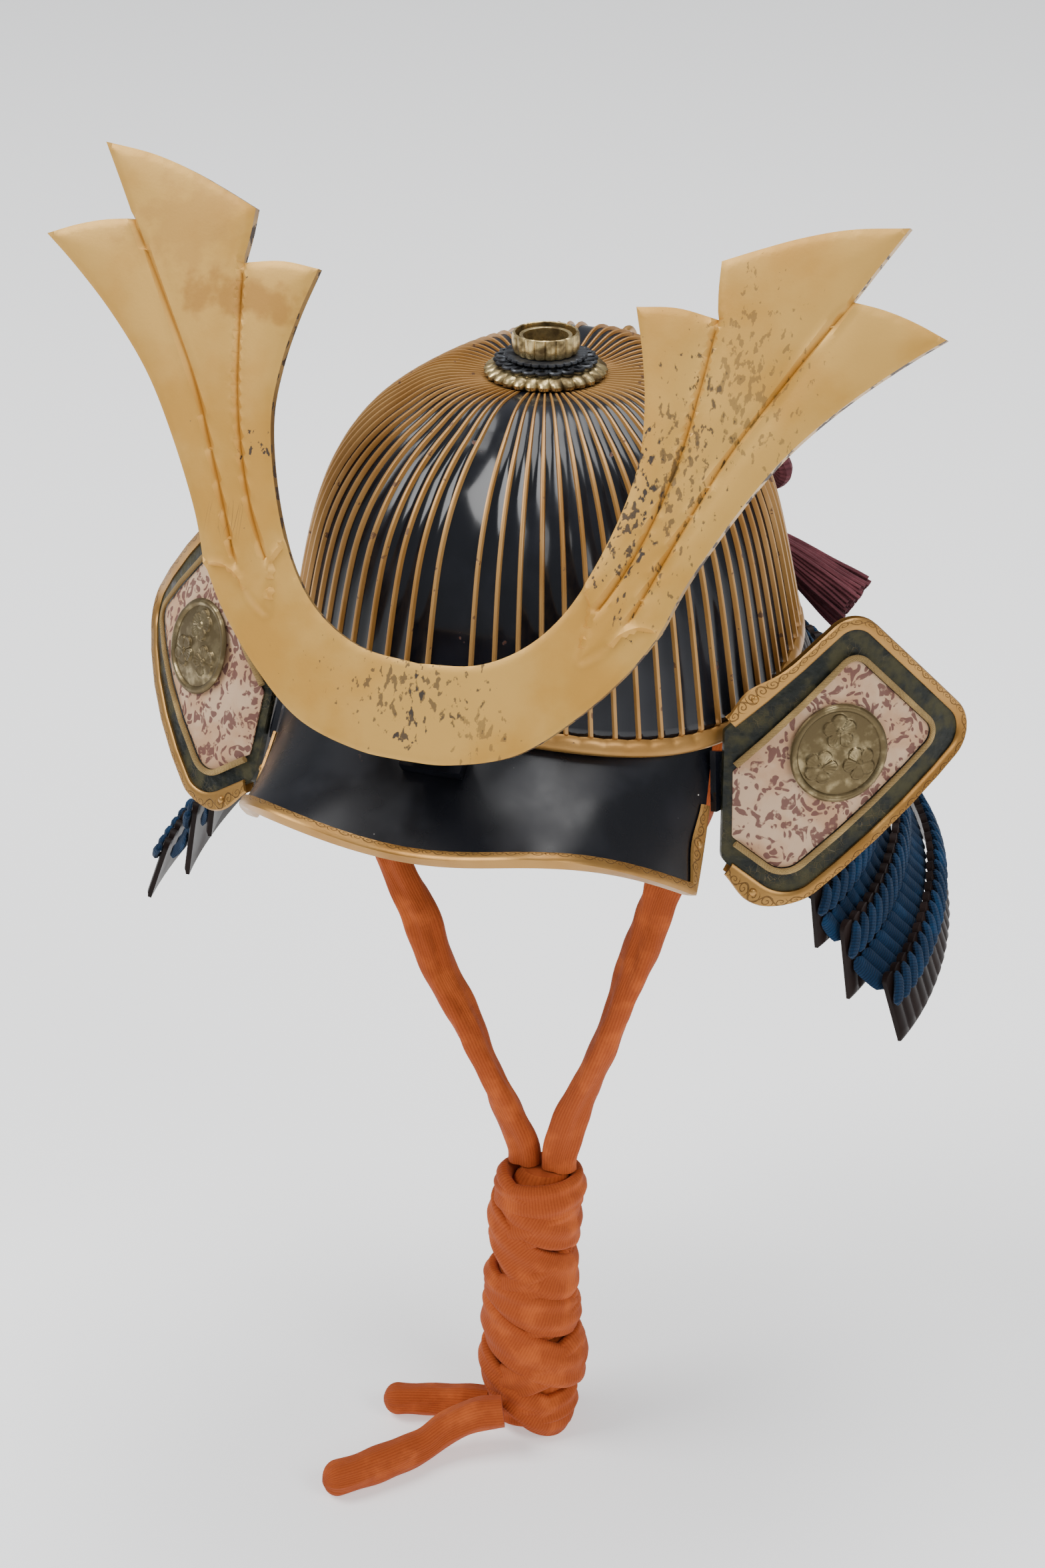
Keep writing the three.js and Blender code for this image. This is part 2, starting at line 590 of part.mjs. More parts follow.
function turnbackPlace(pose) {
  const az = rad(pose.azimuth);
  const tilt = rad(pose.tilt);
  const m = pose.mirror;
  const normal = V(m * Math.sin(az) * Math.cos(tilt), -Math.cos(az) * Math.cos(tilt), Math.sin(tilt));
  const across = V(m * Math.cos(az), Math.sin(az), 0);
  const above = normal.clone().cross(across).multiplyScalar(m);
  const aside = BOWL.halfWidth + TURNBACK.beyondBowl + pose.further;
  const centre = V(m * aside, -TURNBACK.forward, pose.higher - TURNBACK.down);
  // The plate is bent in flat bands, so that everything on it lies parallel.
  const sag = (out) => {
    const k = Math.floor(out / PLATE.bends);
    return PLATE.bulge * PLATE.bends ** 2 * lerp(k * k, (k + 1) ** 2, out / PLATE.bends - k);
  };
  return (out, up, off, flat = false) => centre.clone().addScaledVector(across, out)
    .addScaledVector(above, up).addScaledVector(normal, off - (flat ? 0 : sag(out)));
}

// A curved slab between two heights above a plate, from its outline
function slab(place, outline, low, high) {
  const skin = new Skin();
  const top = skin.line(outline.map((p) => place(p.x, p.y, high)));
  const bottom = skin.line(outline.map((p) => place(p.x, p.y, low)));
  skin.strip(bottom, top, true);
  range(40).map((k) => (k - 20) * PLATE.bends).forEach((from) => {
    const band = range(outline.length).filter((k) => outline[k].x > from - 1e-6
      && outline[k].x < from + PLATE.bends + 1e-6);
    if (band.length < 3) return;
    const contour = band.map((k) => outline[k]);
    skin.cap(band.map((k) => bottom[k]), contour, true);
    skin.cap(band.map((k) => top[k]), contour, false);
  });
  return skin.geometry();
}

// Adds the outline's crossings of the bend lines.
function bent(outline) {
  return outline.flatMap((p, k) => {
    const q = outline[(k + 1) % outline.length];
    const crossings = range(40).map((n) => (n - 20) * PLATE.bends)
      .filter((x) => (x - p.x) * (x - q.x) < -1e-9).map((x) => (x - p.x) / (q.x - p.x)).sort((a, b) => a - b);
    return [p, ...crossings.map((t) => p.clone().lerp(q, t))];
  });
}

// The way out of a clockwise line of points at one of them
function outwardSide(line, k) {
  const before = line[Math.max(k - 1, 0)];
  const after = line[Math.min(k + 1, line.length - 1)];
  const along = after.clone().sub(before).normalize();
  return new THREE.Vector2(-along.y, along.x);
}

function makeTurnback(pose) {
  const place = turnbackPlace(pose);
  const name = (piece) => `turnback_${piece}_${pose.side}`;
  put(name('plate'), slab(place, bent(rounded(PLATE_CORNERS, 0, 3)), -PLATE.wall, 0), 'darkLeather');
  const panel = bent(rounded(PANEL_CORNERS, -PANEL.braid - SEAT_GAP, 3));
  put(name('leather'), slab(place, panel, SEAT_GAP, SEAT_GAP + PANEL.wall), 'printedLeather');

  // Braid round the panel, open on the side next to the bowl
  const border = bent(rounded(PANEL_CORNERS, 0, 3)).slice(4, -5);
  const sides = range(5).map((k) => Math.PI * (0.4 * k + 0.1));
  const onBraid = (a) => new THREE.Vector2(PANEL.braid * Math.cos(a), PANEL.braid * Math.sin(a));
  const braidContour = sides.map(onBraid);
  const braidUp = 2 * SEAT_GAP + PANEL.braid;
  const braidSections = border.map((p, k) => {
    const way = outwardSide(border, k);
    return braidContour.map((c) => place(p.x + way.x * c.x, p.y + way.y * c.x, braidUp + c.y));
  });
  put(name('braid'), sweptSolid(braidSections, braidContour), 'goldBraid');

  // Gilt channel from the lower inner corner round to the upper inner corner
  const edge = bent(rounded(PLATE_CORNERS, 0, 3)).slice(3, -4);
  const stations = edge.map((p, k) => {
    const side = outwardSide(edge, k);
    const t = k / (edge.length - 1);
    const leaf = TRIM.leafLip * Math.exp(-(((Math.min(t, 1 - t) - 0.05) / 0.04) ** 2));
    const point = place(p.x, p.y, 0);
    const out = place(p.x + side.x, p.y + side.y, 0).sub(point).normalize();
    const normal = place(p.x, p.y, 1).sub(point).normalize();
    return { point, out, normal, lip: TRIM.lip + leaf };
  });
  put(name('trim'), edgeTrim(stations, PLATE.wall), 'gilt');

  // Domed medallion on the leather
  const seat = 2 * SEAT_GAP + PANEL.wall;
  const { radius: r, height: h } = MEDALLION;
  const levels = [[1, 0], [1, 0.35], [0.86, 0.8], [0.8, 0.62], [0.4, 0.9]];
  const skin = new Skin();
  const around = range(16).map((k) => (Math.PI * k) / 8);
  const onDome = (share, rise, a) => {
    const out = MEDALLION.out + r * share * Math.cos(a);
    return place(out, MEDALLION.up + r * share * Math.sin(a), seat + h * rise, true);
  };
  const rings = levels.map(([share, rise]) => skin.line(around.map((a) => onDome(share, rise, a))));
  rings.slice(1).forEach((ring, k) => skin.strip(rings[k], ring, true));
  const centreTop = skin.line([place(MEDALLION.out, MEDALLION.up, seat + h, true)]);
  const centreLow = skin.line([place(MEDALLION.out, MEDALLION.up, seat, true)]);
  skin.strip(rings[rings.length - 1], around.map(() => centreTop[0]), true);
  skin.strip(around.map(() => centreLow[0]), rings[0], true);
  skin.faces = skin.faces.filter(([a, b, c]) => a !== b && b !== c && a !== c);
  put(name('medallion'), skin.geometry(), 'brass');

  // Black root that folds the guard's top lame out to the plate
  const from = guardPoint(rad(GUARD.frontAngle) * pose.mirror, LAMES[0], 0.5).add(V(0, -0.8, 0));
  const half = ROOT.thickness / 2;
  const innerOut = PLATE_CORNERS[4].out * PLATE.length - half - 4 * SEAT_GAP;
  const inner = [ROOT.plateUp, -ROOT.plateDown].map((up) => place(innerOut, up, -PLATE.wall / 2));
  const start = [1, -1].map((end) => V(from.x, from.y, from.z + (end * ROOT.height) / 2));
  const bend = start.map((p, k) => p.clone().lerp(inner[k], 0.5).add(V(pose.mirror * 1.5, 0, 0)));
  const corners = [[-half, 0], [half, 0], [half, 1], [-half, 1]];
  const section = (pair) => corners.map(([x, k]) => pair[k].clone().add(V(x, 0, 0)));
  const sections = [start, bend, inner].map(section);
  const contour = corners.map(([x, k]) => new THREE.Vector2(x, k));
  put(name('root'), sweptSolid(sections, contour), 'blackLacquer');
}

// Neck guard. Flare and drop of each lame are shares of the guard's whole flare and drop.
const LAMES = [
  { name: 'lame_1', topFlare: 0.03, topDrop: 0.045, lowFlare: 0.17, lowDrop: 0.25, front: 0 },
  { name: 'lame_2', topFlare: 0.3, topDrop: 0.22, lowFlare: 0.385, lowDrop: 0.47, front: 0 },
  { name: 'lame_3', topFlare: 0.51, topDrop: 0.49, lowFlare: 0.56, lowDrop: 0.69, front: 0.2 },
  { name: 'lame_4', topFlare: 0.655, topDrop: 0.615, lowFlare: 0.725, lowDrop: 0.865, front: 0.5 },
  { name: 'lame_5', topFlare: 0.87, topDrop: 0.795, lowFlare: 1.0, lowDrop: 1.0, front: 0.85 },
];
function guardAt(phi, flareShare, dropShare) {
  const side = Math.abs(phi > Math.PI ? phi - 2 * Math.PI : phi);
  const share = lerp(1, GUARD.rearShare, smoothstep(side, rad(70), rad(180)));
  return onRim(phi, GUARD.flare * flareShare * share, GUARD.drop * dropShare * share);
}
function guardPoint(phi, lame, t) {
  return guardAt(phi, lerp(lame.topFlare, lame.lowFlare, t), lerp(lame.topDrop, lame.lowDrop, t));
}
// u runs from the right front end round the back to the left front end, v from the lower edge up.
function lameFace(lame) {
  return (u, v) => {
    const end = rad(lerp(GUARD.frontAngle, GUARD.lastFrontAngle, lame.front));
    return guardPoint(lerp(end, 2 * Math.PI - end, u), lame, 1 - v);
  };
}
const GUARD_US = spread(GUARD_STEPS);
LAMES.forEach((lame) => {
  const vs = lame.front > 0.8 ? [0, 0.5, 1] : [0, 1];
  put(`neck_${lame.name}`, sheetSolid(lameFace(lame), GUARD_US, vs, GUARD.wall), 'brownLacquer');
});

// Lacing: rows on the upper part of each lame, and hanging laces from each lame to the next
LAMES.slice(1).forEach((lame) => {
  const face = lameFace(lame);
  const row = (u, v) => face(u, lerp(LACING.rowLow, LACING.rowHigh, v));
  const wall = sheetSolid(row, GUARD_US, [0, 1], LACING.row, -LACING.row - SEAT_GAP);
  put(`lacing_row_${lame.name.slice(-1)}`, wall, 'blueSilk');
});
LAMES.slice(0, -1).forEach((lame, k) => {
  const next = LAMES[k + 1];
  const upper = lameFace(lame);
  const lower = lameFace(next);
  const behind = GUARD.wall + LACING.hang + 2 * SEAT_GAP;
  const outward = (p, d) => p.add(V(p.x, p.y, 0).normalize().multiplyScalar(d));
  const hang = (u, v) => {
    const high = outward(upper(u, LACING.hangHigh), 2 * SEAT_GAP);
    const low = outward(lower(u, LACING.hangLow), -behind);
    return low.lerp(high, v);
  };
  put(`lacing_hang_${k + 1}`, sheetSolid(hang, GUARD_US, [0, 1], LACING.hang, -LACING.hang), 'blueSilk');
});

TURNBACKS.forEach((pose) => makeTurnback(pose));

// Rear ring: a staple on a washer, and the ring through it
const tilted = (deg) => V(0, Math.cos(rad(deg)), Math.sin(rad(deg)));
const postFace = bowlFace(Math.PI, rad(RING.climb));
const faceAbove = bowlFace(Math.PI, rad(RING.climb + 1));
const faceOut = V(0, faceAbove.z - postFace.z, postFace.radius - faceAbove.radius).normalize();
const postFoot = V(0, postFace.radius, postFace.z).addScaledVector(faceOut, RING.seat);
const eye = postFoot.clone().addScaledVector(faceOut, WASHER.height)
  .addScaledVector(tilted(RING.lean), RING.eye + RING.staple / 2);
function makePost() {
  const turned = (g, way, at) => g.applyQuaternion(new THREE.Quaternion().setFromUnitVectors(V(0, 1, 0), way))
    .translate(at.x, at.y, at.z);
  const washer = new THREE.CylinderGeometry(WASHER.radius - 0.6, WASHER.radius, WASHER.height, 12);
  const staple = new THREE.TorusGeometry(RING.eye + RING.staple, RING.staple, 6, 12);
  return joined([
    turned(washer.translate(0, WASHER.height / 2, 0), faceOut, postFoot),
    turned(staple, tilted(RING.lean), eye),
  ]);
}
put('rear_post', makePost(), 'gilt');

const ringCentre = eye.clone().addScaledVector(tilted(RING.hang), RING.radius);
function makeRing() {
  const g = new THREE.TorusGeometry(RING.radius, RING.wire, 6, 16);
  g.rotateY(Math.PI / 2);
  return g.translate(ringCentre.x, ringCentre.y, ringCentre.z);
}
put('rear_ring', makeRing(), 'gilt');

// Bow of thick cord: a loop through the ring, a knot, two side loops and two tails
const bowHang = ringCentre.clone().add(V(0, 0, RING.wire + BOW.cord + SEAT_GAP * 2 - RING.radius));
const knot = V(0, BOWL.rear + BOW.behindBowl, BOW.up);
const tasselWay = (m) => V(m * TASSEL.way.aside, TASSEL.way.back, TASSEL.way.up).normalize();
function makeBow() {
  const { cord, halfWidth, loopHeight, knotWidth, knotHeight } = BOW;
  const loop = (points, steps) => {
    const curve = new THREE.CatmullRomCurve3(points, true, 'centripetal');
    return sweepAlong(curve, cord, 6, steps);
  };
  const legs = RING.wire + cord + 3 * SEAT_GAP;
  const up = knotHeight / 2;
  const leg = (m) => [
    V(m * legs, bowHang.y + 1, bowHang.z - 2),
    V(m * legs, lerp(bowHang.y, knot.y, 0.6), bowHang.z - BOW.drape),
    V(m * cord * 1.2, knot.y, knot.z + up),
    V(m * cord * 0.6, knot.y, knot.z),
  ];
  const top = loop([bowHang, ...leg(1), ...leg(-1).reverse()], 20);
  // A side loop sags back toward the bowl's sides.
  const side = (m) => loop([
    V(m * 4, knot.y, knot.z + 4),
    V(m * halfWidth * 0.55, knot.y - 2, knot.z + loopHeight),
    V(m * (halfWidth - 6), knot.y - 8, knot.z + loopHeight * 0.9),
    V(m * halfWidth, knot.y - 10, knot.z),
    V(m * (halfWidth - 6), knot.y - 8, knot.z - loopHeight * 0.9),
    V(m * halfWidth * 0.55, knot.y - 2, knot.z - loopHeight),
    V(m * 4, knot.y, knot.z - 4),
  ], 15);
  const tail = (m) => {
    const head = V(m * TASSEL.aside, knot.y, knot.z - TASSEL.down);
    const end = head.addScaledVector(tasselWay(m), -3 * SEAT_GAP);
    const route = [V(m * 3, knot.y, knot.z - 4), V(m * 14, knot.y + 1, knot.z - up - 4), end];
    return sweepAlong(new THREE.CatmullRomCurve3(route), cord * 0.8, 6, 5);
  };
  const block = new THREE.BoxGeometry(knotWidth, 4 * cord, knotHeight);
  block.translate(knot.x, knot.y, knot.z);
  return joined([block, top, side(1), side(-1), tail(1), tail(-1)]);
}
put('rear_bow', makeBow(), 'purpleSilk');

// A tassel's head and skirt, lobed in locks
function makeTassel(m) {
  const from = V(m * TASSEL.aside, knot.y, knot.z - TASSEL.down);
  const way = tasselWay(m);
  const side = way.clone().cross(V(0, 1, 0)).normalize();
  const other = side.clone().cross(way).normalize();
  const columns = range(TASSEL.locks * 2);
  const levels = [
    { at: 0, share: 0 }, { at: 0.04, share: 0.02 }, { at: 0.2, share: 0.1 }, { at: 0.24, share: 0 },
    { at: 0.6, share: 0.7 }, { at: 1, share: 1 },
  ];
  const contour = columns.map((k) => {
    const a = (2 * Math.PI * k) / columns.length;
    return new THREE.Vector2(Math.cos(a), Math.sin(a)).multiplyScalar(k % 2 ? 0.84 : 1);
  });
  const sections = levels.map(({ at, share }) => contour.map((c) => {
    const radius = lerp(TASSEL.headRadius * 0.7, TASSEL.endRadius, share);
    return from.clone().addScaledVector(way, at * TASSEL.length).addScaledVector(side, c.x * radius)
      .addScaledVector(other, c.y * radius * 0.8);
  }));
  return sweptSolid(sections, contour);
}
put('rear_tassel_right', makeTassel(1), 'purpleSilk');
put('rear_tassel_left', makeTassel(-1), 'purpleSilk');

// Chin cord: a loop inside each side of the bowl, two strands, the wrapped bundle and two tails
const loopAcross = BOWL.halfWidth - LOOP.insideBowl;
function strandRoute(rows, m) {
  return rows.map(({ out, forward, up }) => V(m * lerp(BUNDLE.strandsAside, loopAcross, out), forward, up));
}
const tailRoute = (rows) => rows.map(({ across, forward, up }) => V(across, forward, up));
function makeCordLoop(m) {
  const g = new THREE.TorusGeometry(LOOP.radius, LOOP.wire, 5, 12);
  g.rotateX(Math.PI / 2);
  return g.translate(m * loopAcross, LOOP.forward, LOOP.up + LOOP.radius);
}
put('cord_loop_left', makeCordLoop(-1), 'orangeCotton');
put('cord_loop_right', makeCordLoop(1), 'orangeCotton');
put('chin_cord_left', tube(strandRoute(STRAND_LEFT, -1), STRAND_RADIUS, 8, 12), 'orangeCotton');
put('chin_cord_right', tube(strandRoute(STRAND_RIGHT, 1), STRAND_RADIUS, 8, 12), 'orangeCotton');
put('cord_tail_front', tube(tailRoute(TAIL_FRONT), TAIL_RADIUS, 8, 6), 'orangeCotton');
put('cord_tail_rear', tube(tailRoute(TAIL_REAR), TAIL_RADIUS, 8, 3), 'orangeCotton');

// Wraps of the bundle: left and right edges and depth in shares of its width and depth
const WRAPS = [
  { down: 0.0, left: 0.3, right: 0.4, depth: 0.7 }, { down: 0.06, left: 0.42, right: 0.43, depth: 0.9 },
  { down: 0.2, left: 0.5, right: 0.4, depth: 0.95 }, { down: 0.32, left: 0.53, right: 0.31, depth: 0.88 },
  { down: 0.45, left: 0.55, right: 0.42, depth: 1.0 }, { down: 0.55, left: 0.57, right: 0.39, depth: 0.9 },
  { down: 0.7, left: 0.6, right: 0.46, depth: 1.0 }, { down: 0.8, left: 0.61, right: 0.44, depth: 0.95 },
  { down: 0.9, left: 0.5, right: 0.36, depth: 0.9 }, { down: 1.0, left: 0.3, right: 0.2, depth: 0.6 },
];
function makeBundle() {
  const contour = range(14).map((k) => {
    const a = (Math.PI * k) / 7;
    return new THREE.Vector2(Math.cos(a), Math.sin(a));
  });
  const sections = WRAPS.map(({ down, left, right, depth }) => contour.map((c) => {
    const middle = ((right - left) / 2) * BUNDLE.width;
    const half = ((right + left) / 2) * BUNDLE.width;
    const forward = BUNDLE.forward + (c.y * depth * BUNDLE.depth) / 2;
    return V(middle + half * c.x, forward, BUNDLE.top - down * BUNDLE.height);
  }));
  return sweptSolid(sections, contour);
}
put('cord_bundle', makeBundle(), 'orangeCotton');

export default group;
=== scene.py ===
"""Looks of a samurai's helmet: ribbed bowl, gilt horns, visor, turnbacks, laced neck guard and chin cord.

Metres, +Z up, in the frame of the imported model. The face looks along -Y.
"""

import logging
import math
from dataclasses import dataclass
from enum import Enum
from typing import Callable, Sequence

import bpy
import numpy as np
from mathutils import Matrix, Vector
from mathutils.geometry import delaunay_2d_cdt


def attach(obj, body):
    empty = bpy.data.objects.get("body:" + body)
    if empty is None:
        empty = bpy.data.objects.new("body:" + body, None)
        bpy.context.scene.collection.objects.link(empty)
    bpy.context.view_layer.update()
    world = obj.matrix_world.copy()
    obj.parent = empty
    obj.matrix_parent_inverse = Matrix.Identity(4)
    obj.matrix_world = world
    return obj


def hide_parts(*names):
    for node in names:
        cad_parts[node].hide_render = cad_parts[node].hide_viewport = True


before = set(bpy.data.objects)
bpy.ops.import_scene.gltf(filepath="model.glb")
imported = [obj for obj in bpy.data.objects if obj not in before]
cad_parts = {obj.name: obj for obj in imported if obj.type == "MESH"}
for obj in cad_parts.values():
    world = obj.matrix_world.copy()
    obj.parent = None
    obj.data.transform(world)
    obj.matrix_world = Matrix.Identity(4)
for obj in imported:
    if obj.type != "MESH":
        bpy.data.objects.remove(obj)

log = logging.getLogger("kabuto")
MM = 0.001
SEAT_GAP = 0.3
FULL_TURN = 2 * math.pi
GOLDEN_ANGLE = 2.399963
Array = np.ndarray
Colour = tuple[float, float, float, float]
Socket = bpy.types.NodeSocket
Material = bpy.types.Material
Piece = bpy.types.Object


# Small mathematics


def smoothstep(x: Array | float, low: float, high: float) -> Array:
    """Returns 0 below low, 1 above high and a smooth rise between them."""
    t = np.clip((np.asarray(x, float) - low) / (high - low), 0, 1)
    return t * t * (3 - 2 * t)


def lerp(a: Array | float, b: Array | float, t: Array | float) -> Array:
    """Returns the value a share t of the way from a to b."""
    return a + (b - a) * t


def unit(v: Array) -> Array:
    """Returns vectors of length one."""
    return v / np.maximum(np.linalg.norm(v, axis=-1, keepdims=True), 1e-12)


def polar(phi: Array, radius: Array, z: Array) -> Array:
    """Returns points at azimuths counted from the front toward +X.

    Args:
        phi: azimuths.
        radius: how far out the points lie.
        z: their heights.

    Returns:
        The points.
    """
    phi, radius, z = np.broadcast_arrays(phi, radius, z)
    return np.stack([radius * np.sin(phi), -radius * np.cos(phi), z], -1)


def run_along(line: Array) -> Array:
    """Returns how far along a line each of its points lies."""
    return np.concatenate([[0], np.cumsum(np.linalg.norm(np.diff(line, axis=0), axis=1))])


def back_to_start(line: Array) -> Array:
    """Returns a line with its first point once more at its end."""
    return np.vstack([line, line[:1]])


def turns(count: int) -> Array:
    """Returns angles evenly spaced round a full turn."""
    return np.linspace(0, FULL_TURN, count + 1)[:-1]


def smooth_line(points: Sequence[Sequence[float]], count: int, closed: bool = False) -> Array:
    """Draws a smooth line through points.

    Args:
        points: the points that it passes, two or three numbers each.
        count: how many points it is drawn with, evenly spaced.
        closed: whether it runs back to its start.

    Returns:
        The line's points.
    """
    p = np.array(points, float)
    p = np.vstack([p[-1:], p, p[:2]]) if closed else np.vstack([2 * p[:1] - p[1:2], p, 2 * p[-1:] - p[-2:-1]])
    knots = np.concatenate([[0], np.cumsum(np.linalg.norm(np.diff(p, axis=0), axis=1) ** 0.5 + 1e-9)])
    fine: list[Array] = []
    for k in range(1, len(p) - 2):
        t0, t1, t2, t3 = knots[k - 1 : k + 3]
        t = np.linspace(t1, t2, 24, endpoint=False)[:, None]
        a1 = (t1 - t) / (t1 - t0) * p[k - 1] + (t - t0) / (t1 - t0) * p[k]
        a2 = (t2 - t) / (t2 - t1) * p[k] + (t - t1) / (t2 - t1) * p[k + 1]
        a3 = (t3 - t) / (t3 - t2) * p[k + 1] + (t - t2) / (t3 - t2) * p[k + 2]
        b1 = (t2 - t) / (t2 - t0) * a1 + (t - t0) / (t2 - t0) * a2
        b2 = (t3 - t) / (t3 - t1) * a2 + (t - t1) / (t3 - t1) * a3
        fine.append((t2 - t) / (t2 - t1) * b1 + (t - t1) / (t2 - t1) * b2)
    line = np.vstack([*fine, p[-2:-1]])
    along = run_along(line)
    at = np.linspace(0, along[-1], count + 1)[:-1] if closed else np.linspace(0, along[-1], count)
    return np.stack([np.interp(at, along, line[:, k]) for k in range(line.shape[1])], -1)


# Meshes


class Draft:
    """Gathers closed shells into one mesh."""

    def __init__(self) -> None:
        """Starts empty."""
        self.points: list[Array] = []
        self.count = 0
        self.faces: list[tuple[int, ...]] = []
        self.corners: list[list[tuple[float, float]]] = []
        self.slots: list[int] = []
        self.shell_start = 0

    def add_points(self, points: Array) -> int:
        """Adds points and returns the first one's number.

        Args:
            points: an array of threes, of any shape.

        Returns:
            The first one's number.
        """
        start = self.count
        self.points.append(np.asarray(points, float).reshape(-1, 3))
        self.count += len(self.points[-1])
        return start

    def grid(
        self,
        points: Array,
        wrap: bool = False,
        rows_at: Array | None = None,
        cols_at: Array | None = None,
        slot: int | Array = 0,
    ) -> int:
        """Adds a grid of quads.

        Args:
            points: rows by columns by three.
            wrap: whether each row runs back to its first column.
            rows_at: the surface coordinate of each row.
            cols_at: the surface coordinate of each column, with one more where it wraps.
            slot: the material slot, or one for each column of quads.

        Returns:
            The number of the first point.
        """
        rows, cols = points.shape[:2]
        start = self.add_points(points)
        across = cols if wrap else cols - 1
        rows_at = np.arange(rows) if rows_at is None else rows_at
        cols_at = np.arange(cols + 1) if cols_at is None else cols_at
        slots = np.broadcast_to(slot, (across,))
        for i in range(rows - 1):
            for j in range(across):
                k = (j + 1) % cols
                row, below = start + i * cols, start + (i + 1) * cols
                self.faces.append((row + j, row + k, below + k, below + j))
                u0, u1, v0, v1 = cols_at[j], cols_at[j + 1], rows_at[i], rows_at[i + 1]
                self.corners.append([(u0, v0), (u1, v0), (u1, v1), (u0, v1)])
                self.slots.append(int(slots[j]))
        return start

    def polygon(self, ids: Sequence[int], slot: int = 0) -> None:
        """Adds one face.

        Args:
            ids: its points.
            slot: its material slot.
        """
        self.faces.append(tuple(int(i) for i in ids))
        self.corners.append([(0.0, 0.0)] * len(ids))
        self.slots.append(slot)

    def caps(self, start: int, rows: int, cols: int) -> None:
        """Closes both ends of a grid that wraps.

        Args:
            start: the grid's first point.
            rows: how many rows it has.
            cols: how many points each row has.
        """
        last = start + (rows - 1) * cols
        self.polygon(range(start + cols - 1, start - 1, -1))
        self.polygon(range(last, last + cols))

    def warp(self, change: Callable[[float, float], tuple[float, float]]) -> None:
        """Changes the surface coordinates of every face so far."""
        self.corners = [[change(u, v) for u, v in face] for face in self.corners]

    def close(self) -> None:
        """Ends a shell and turns its faces outward."""
        all_points = np.vstack(self.points)
        self.points = [all_points]
        volume = 0.0
        for face in self.faces[self.shell_start :]:
            a = all_points[face[0]]
            for k in range(1, len(face) - 1):
                volume += float(a @ np.cross(all_points[face[k]], all_points[face[k + 1]]))
        if volume < 0:
            for k in range(self.shell_start, len(self.faces)):
                self.faces[k] = self.faces[k][::-1]
                self.corners[k] = self.corners[k][::-1]
        self.shell_start = len(self.faces)

    def tube(self, path: Array, radius: Callable[[Array, Array], Array], sides: int = 16) -> None:
        """Adds a tube with closed ends.

        Args:
            path: its centres.
            radius: gives the radius at an arc length along it and an angle round it.
            sides: how many points go round it.
        """
        tangent = unit(np.gradient(path, axis=0))
        side = unit(np.cross(tangent[0], (0.31, 0.87, 0.38)))
        sides_along = [side]
        for t in tangent[1:]:
            side = unit(side - t * float(side @ t))
            sides_along.append(side)
        first = np.array(sides_along)
        second = np.cross(tangent, first)
        along = run_along(path)
        turn = np.linspace(0, FULL_TURN, sides + 1)
        angle = turn[None, :-1]
        r = radius(along[:, None], angle)[..., None]
        ring = first[:, None] * np.cos(angle)[..., None] + second[:, None] * np.sin(angle)[..., None]
        width = float(np.median(r))
        start = self.grid(path[:, None] + ring * r, True, along, turn * width)
        self.caps(start, len(path), sides)
        self.close()

    def loop(
        self, rings: Array, rows_at: Array | None = None, cols_at: Array | None = None, slot: int | Array = 0
    ) -> None:
        """Adds a ring-shaped shell from sections that run round and back to the first one.

        Args:
            rings: the sections.
            rows_at: the surface coordinate of each section and of the first again.
            cols_at: the surface coordinate of each point of a section and of the first again.
            slot: the material slot, or one for each column of quads.
        """
        rows = np.concatenate([rings, rings[:1]])
        rows_at = np.arange(len(rows)) if rows_at is None else rows_at
        start = self.grid(rows, True, rows_at, cols_at, slot)
        # The last row lies on the first one, so its faces are sewn to it.
        cols = rings.shape[1]
        moved = start + len(rings) * cols
        self.faces = [tuple(i - len(rings) * cols if i >= moved else i for i in f) for f in self.faces]
        self.close()

    def sheet(self, front: Array, back: Array, rows_at: Array, cols_at: Array) -> None:
        """Adds a closed wall between two grids of the same size.

        Args:
            front: the front grid.
            back: the back grid.
            rows_at: the surface coordinate of each row.
            cols_at: the surface coordinate of each column.
        """
        rows, cols = front.shape[:2]
        start = self.grid(front, False, rows_at, cols_at)
        behind = self.add_points(back)
        for i in range(rows - 1):
            for j in range(cols - 1):
                a = behind + i * cols + j
                self.polygon((a, a + cols, a + cols + 1, a + 1))
                self.corners[-1] = [(cols_at[j], rows_at[i]), (cols_at[j], rows_at[i + 1]),
                                    (cols_at[j + 1], rows_at[i + 1]), (cols_at[j + 1], rows_at[i])]
        edge = [i * cols for i in range(rows)] + [(rows - 1) * cols + j for j in range(1, cols)]
        edge += [i * cols + cols - 1 for i in range(rows - 2, -1, -1)] + list(range(cols - 2, 0, -1))
        for k, a in enumerate(edge):
            b = edge[(k + 1) % len(edge)]
            self.polygon((start + a, start + b, behind + b, behind + a))
        self.close()

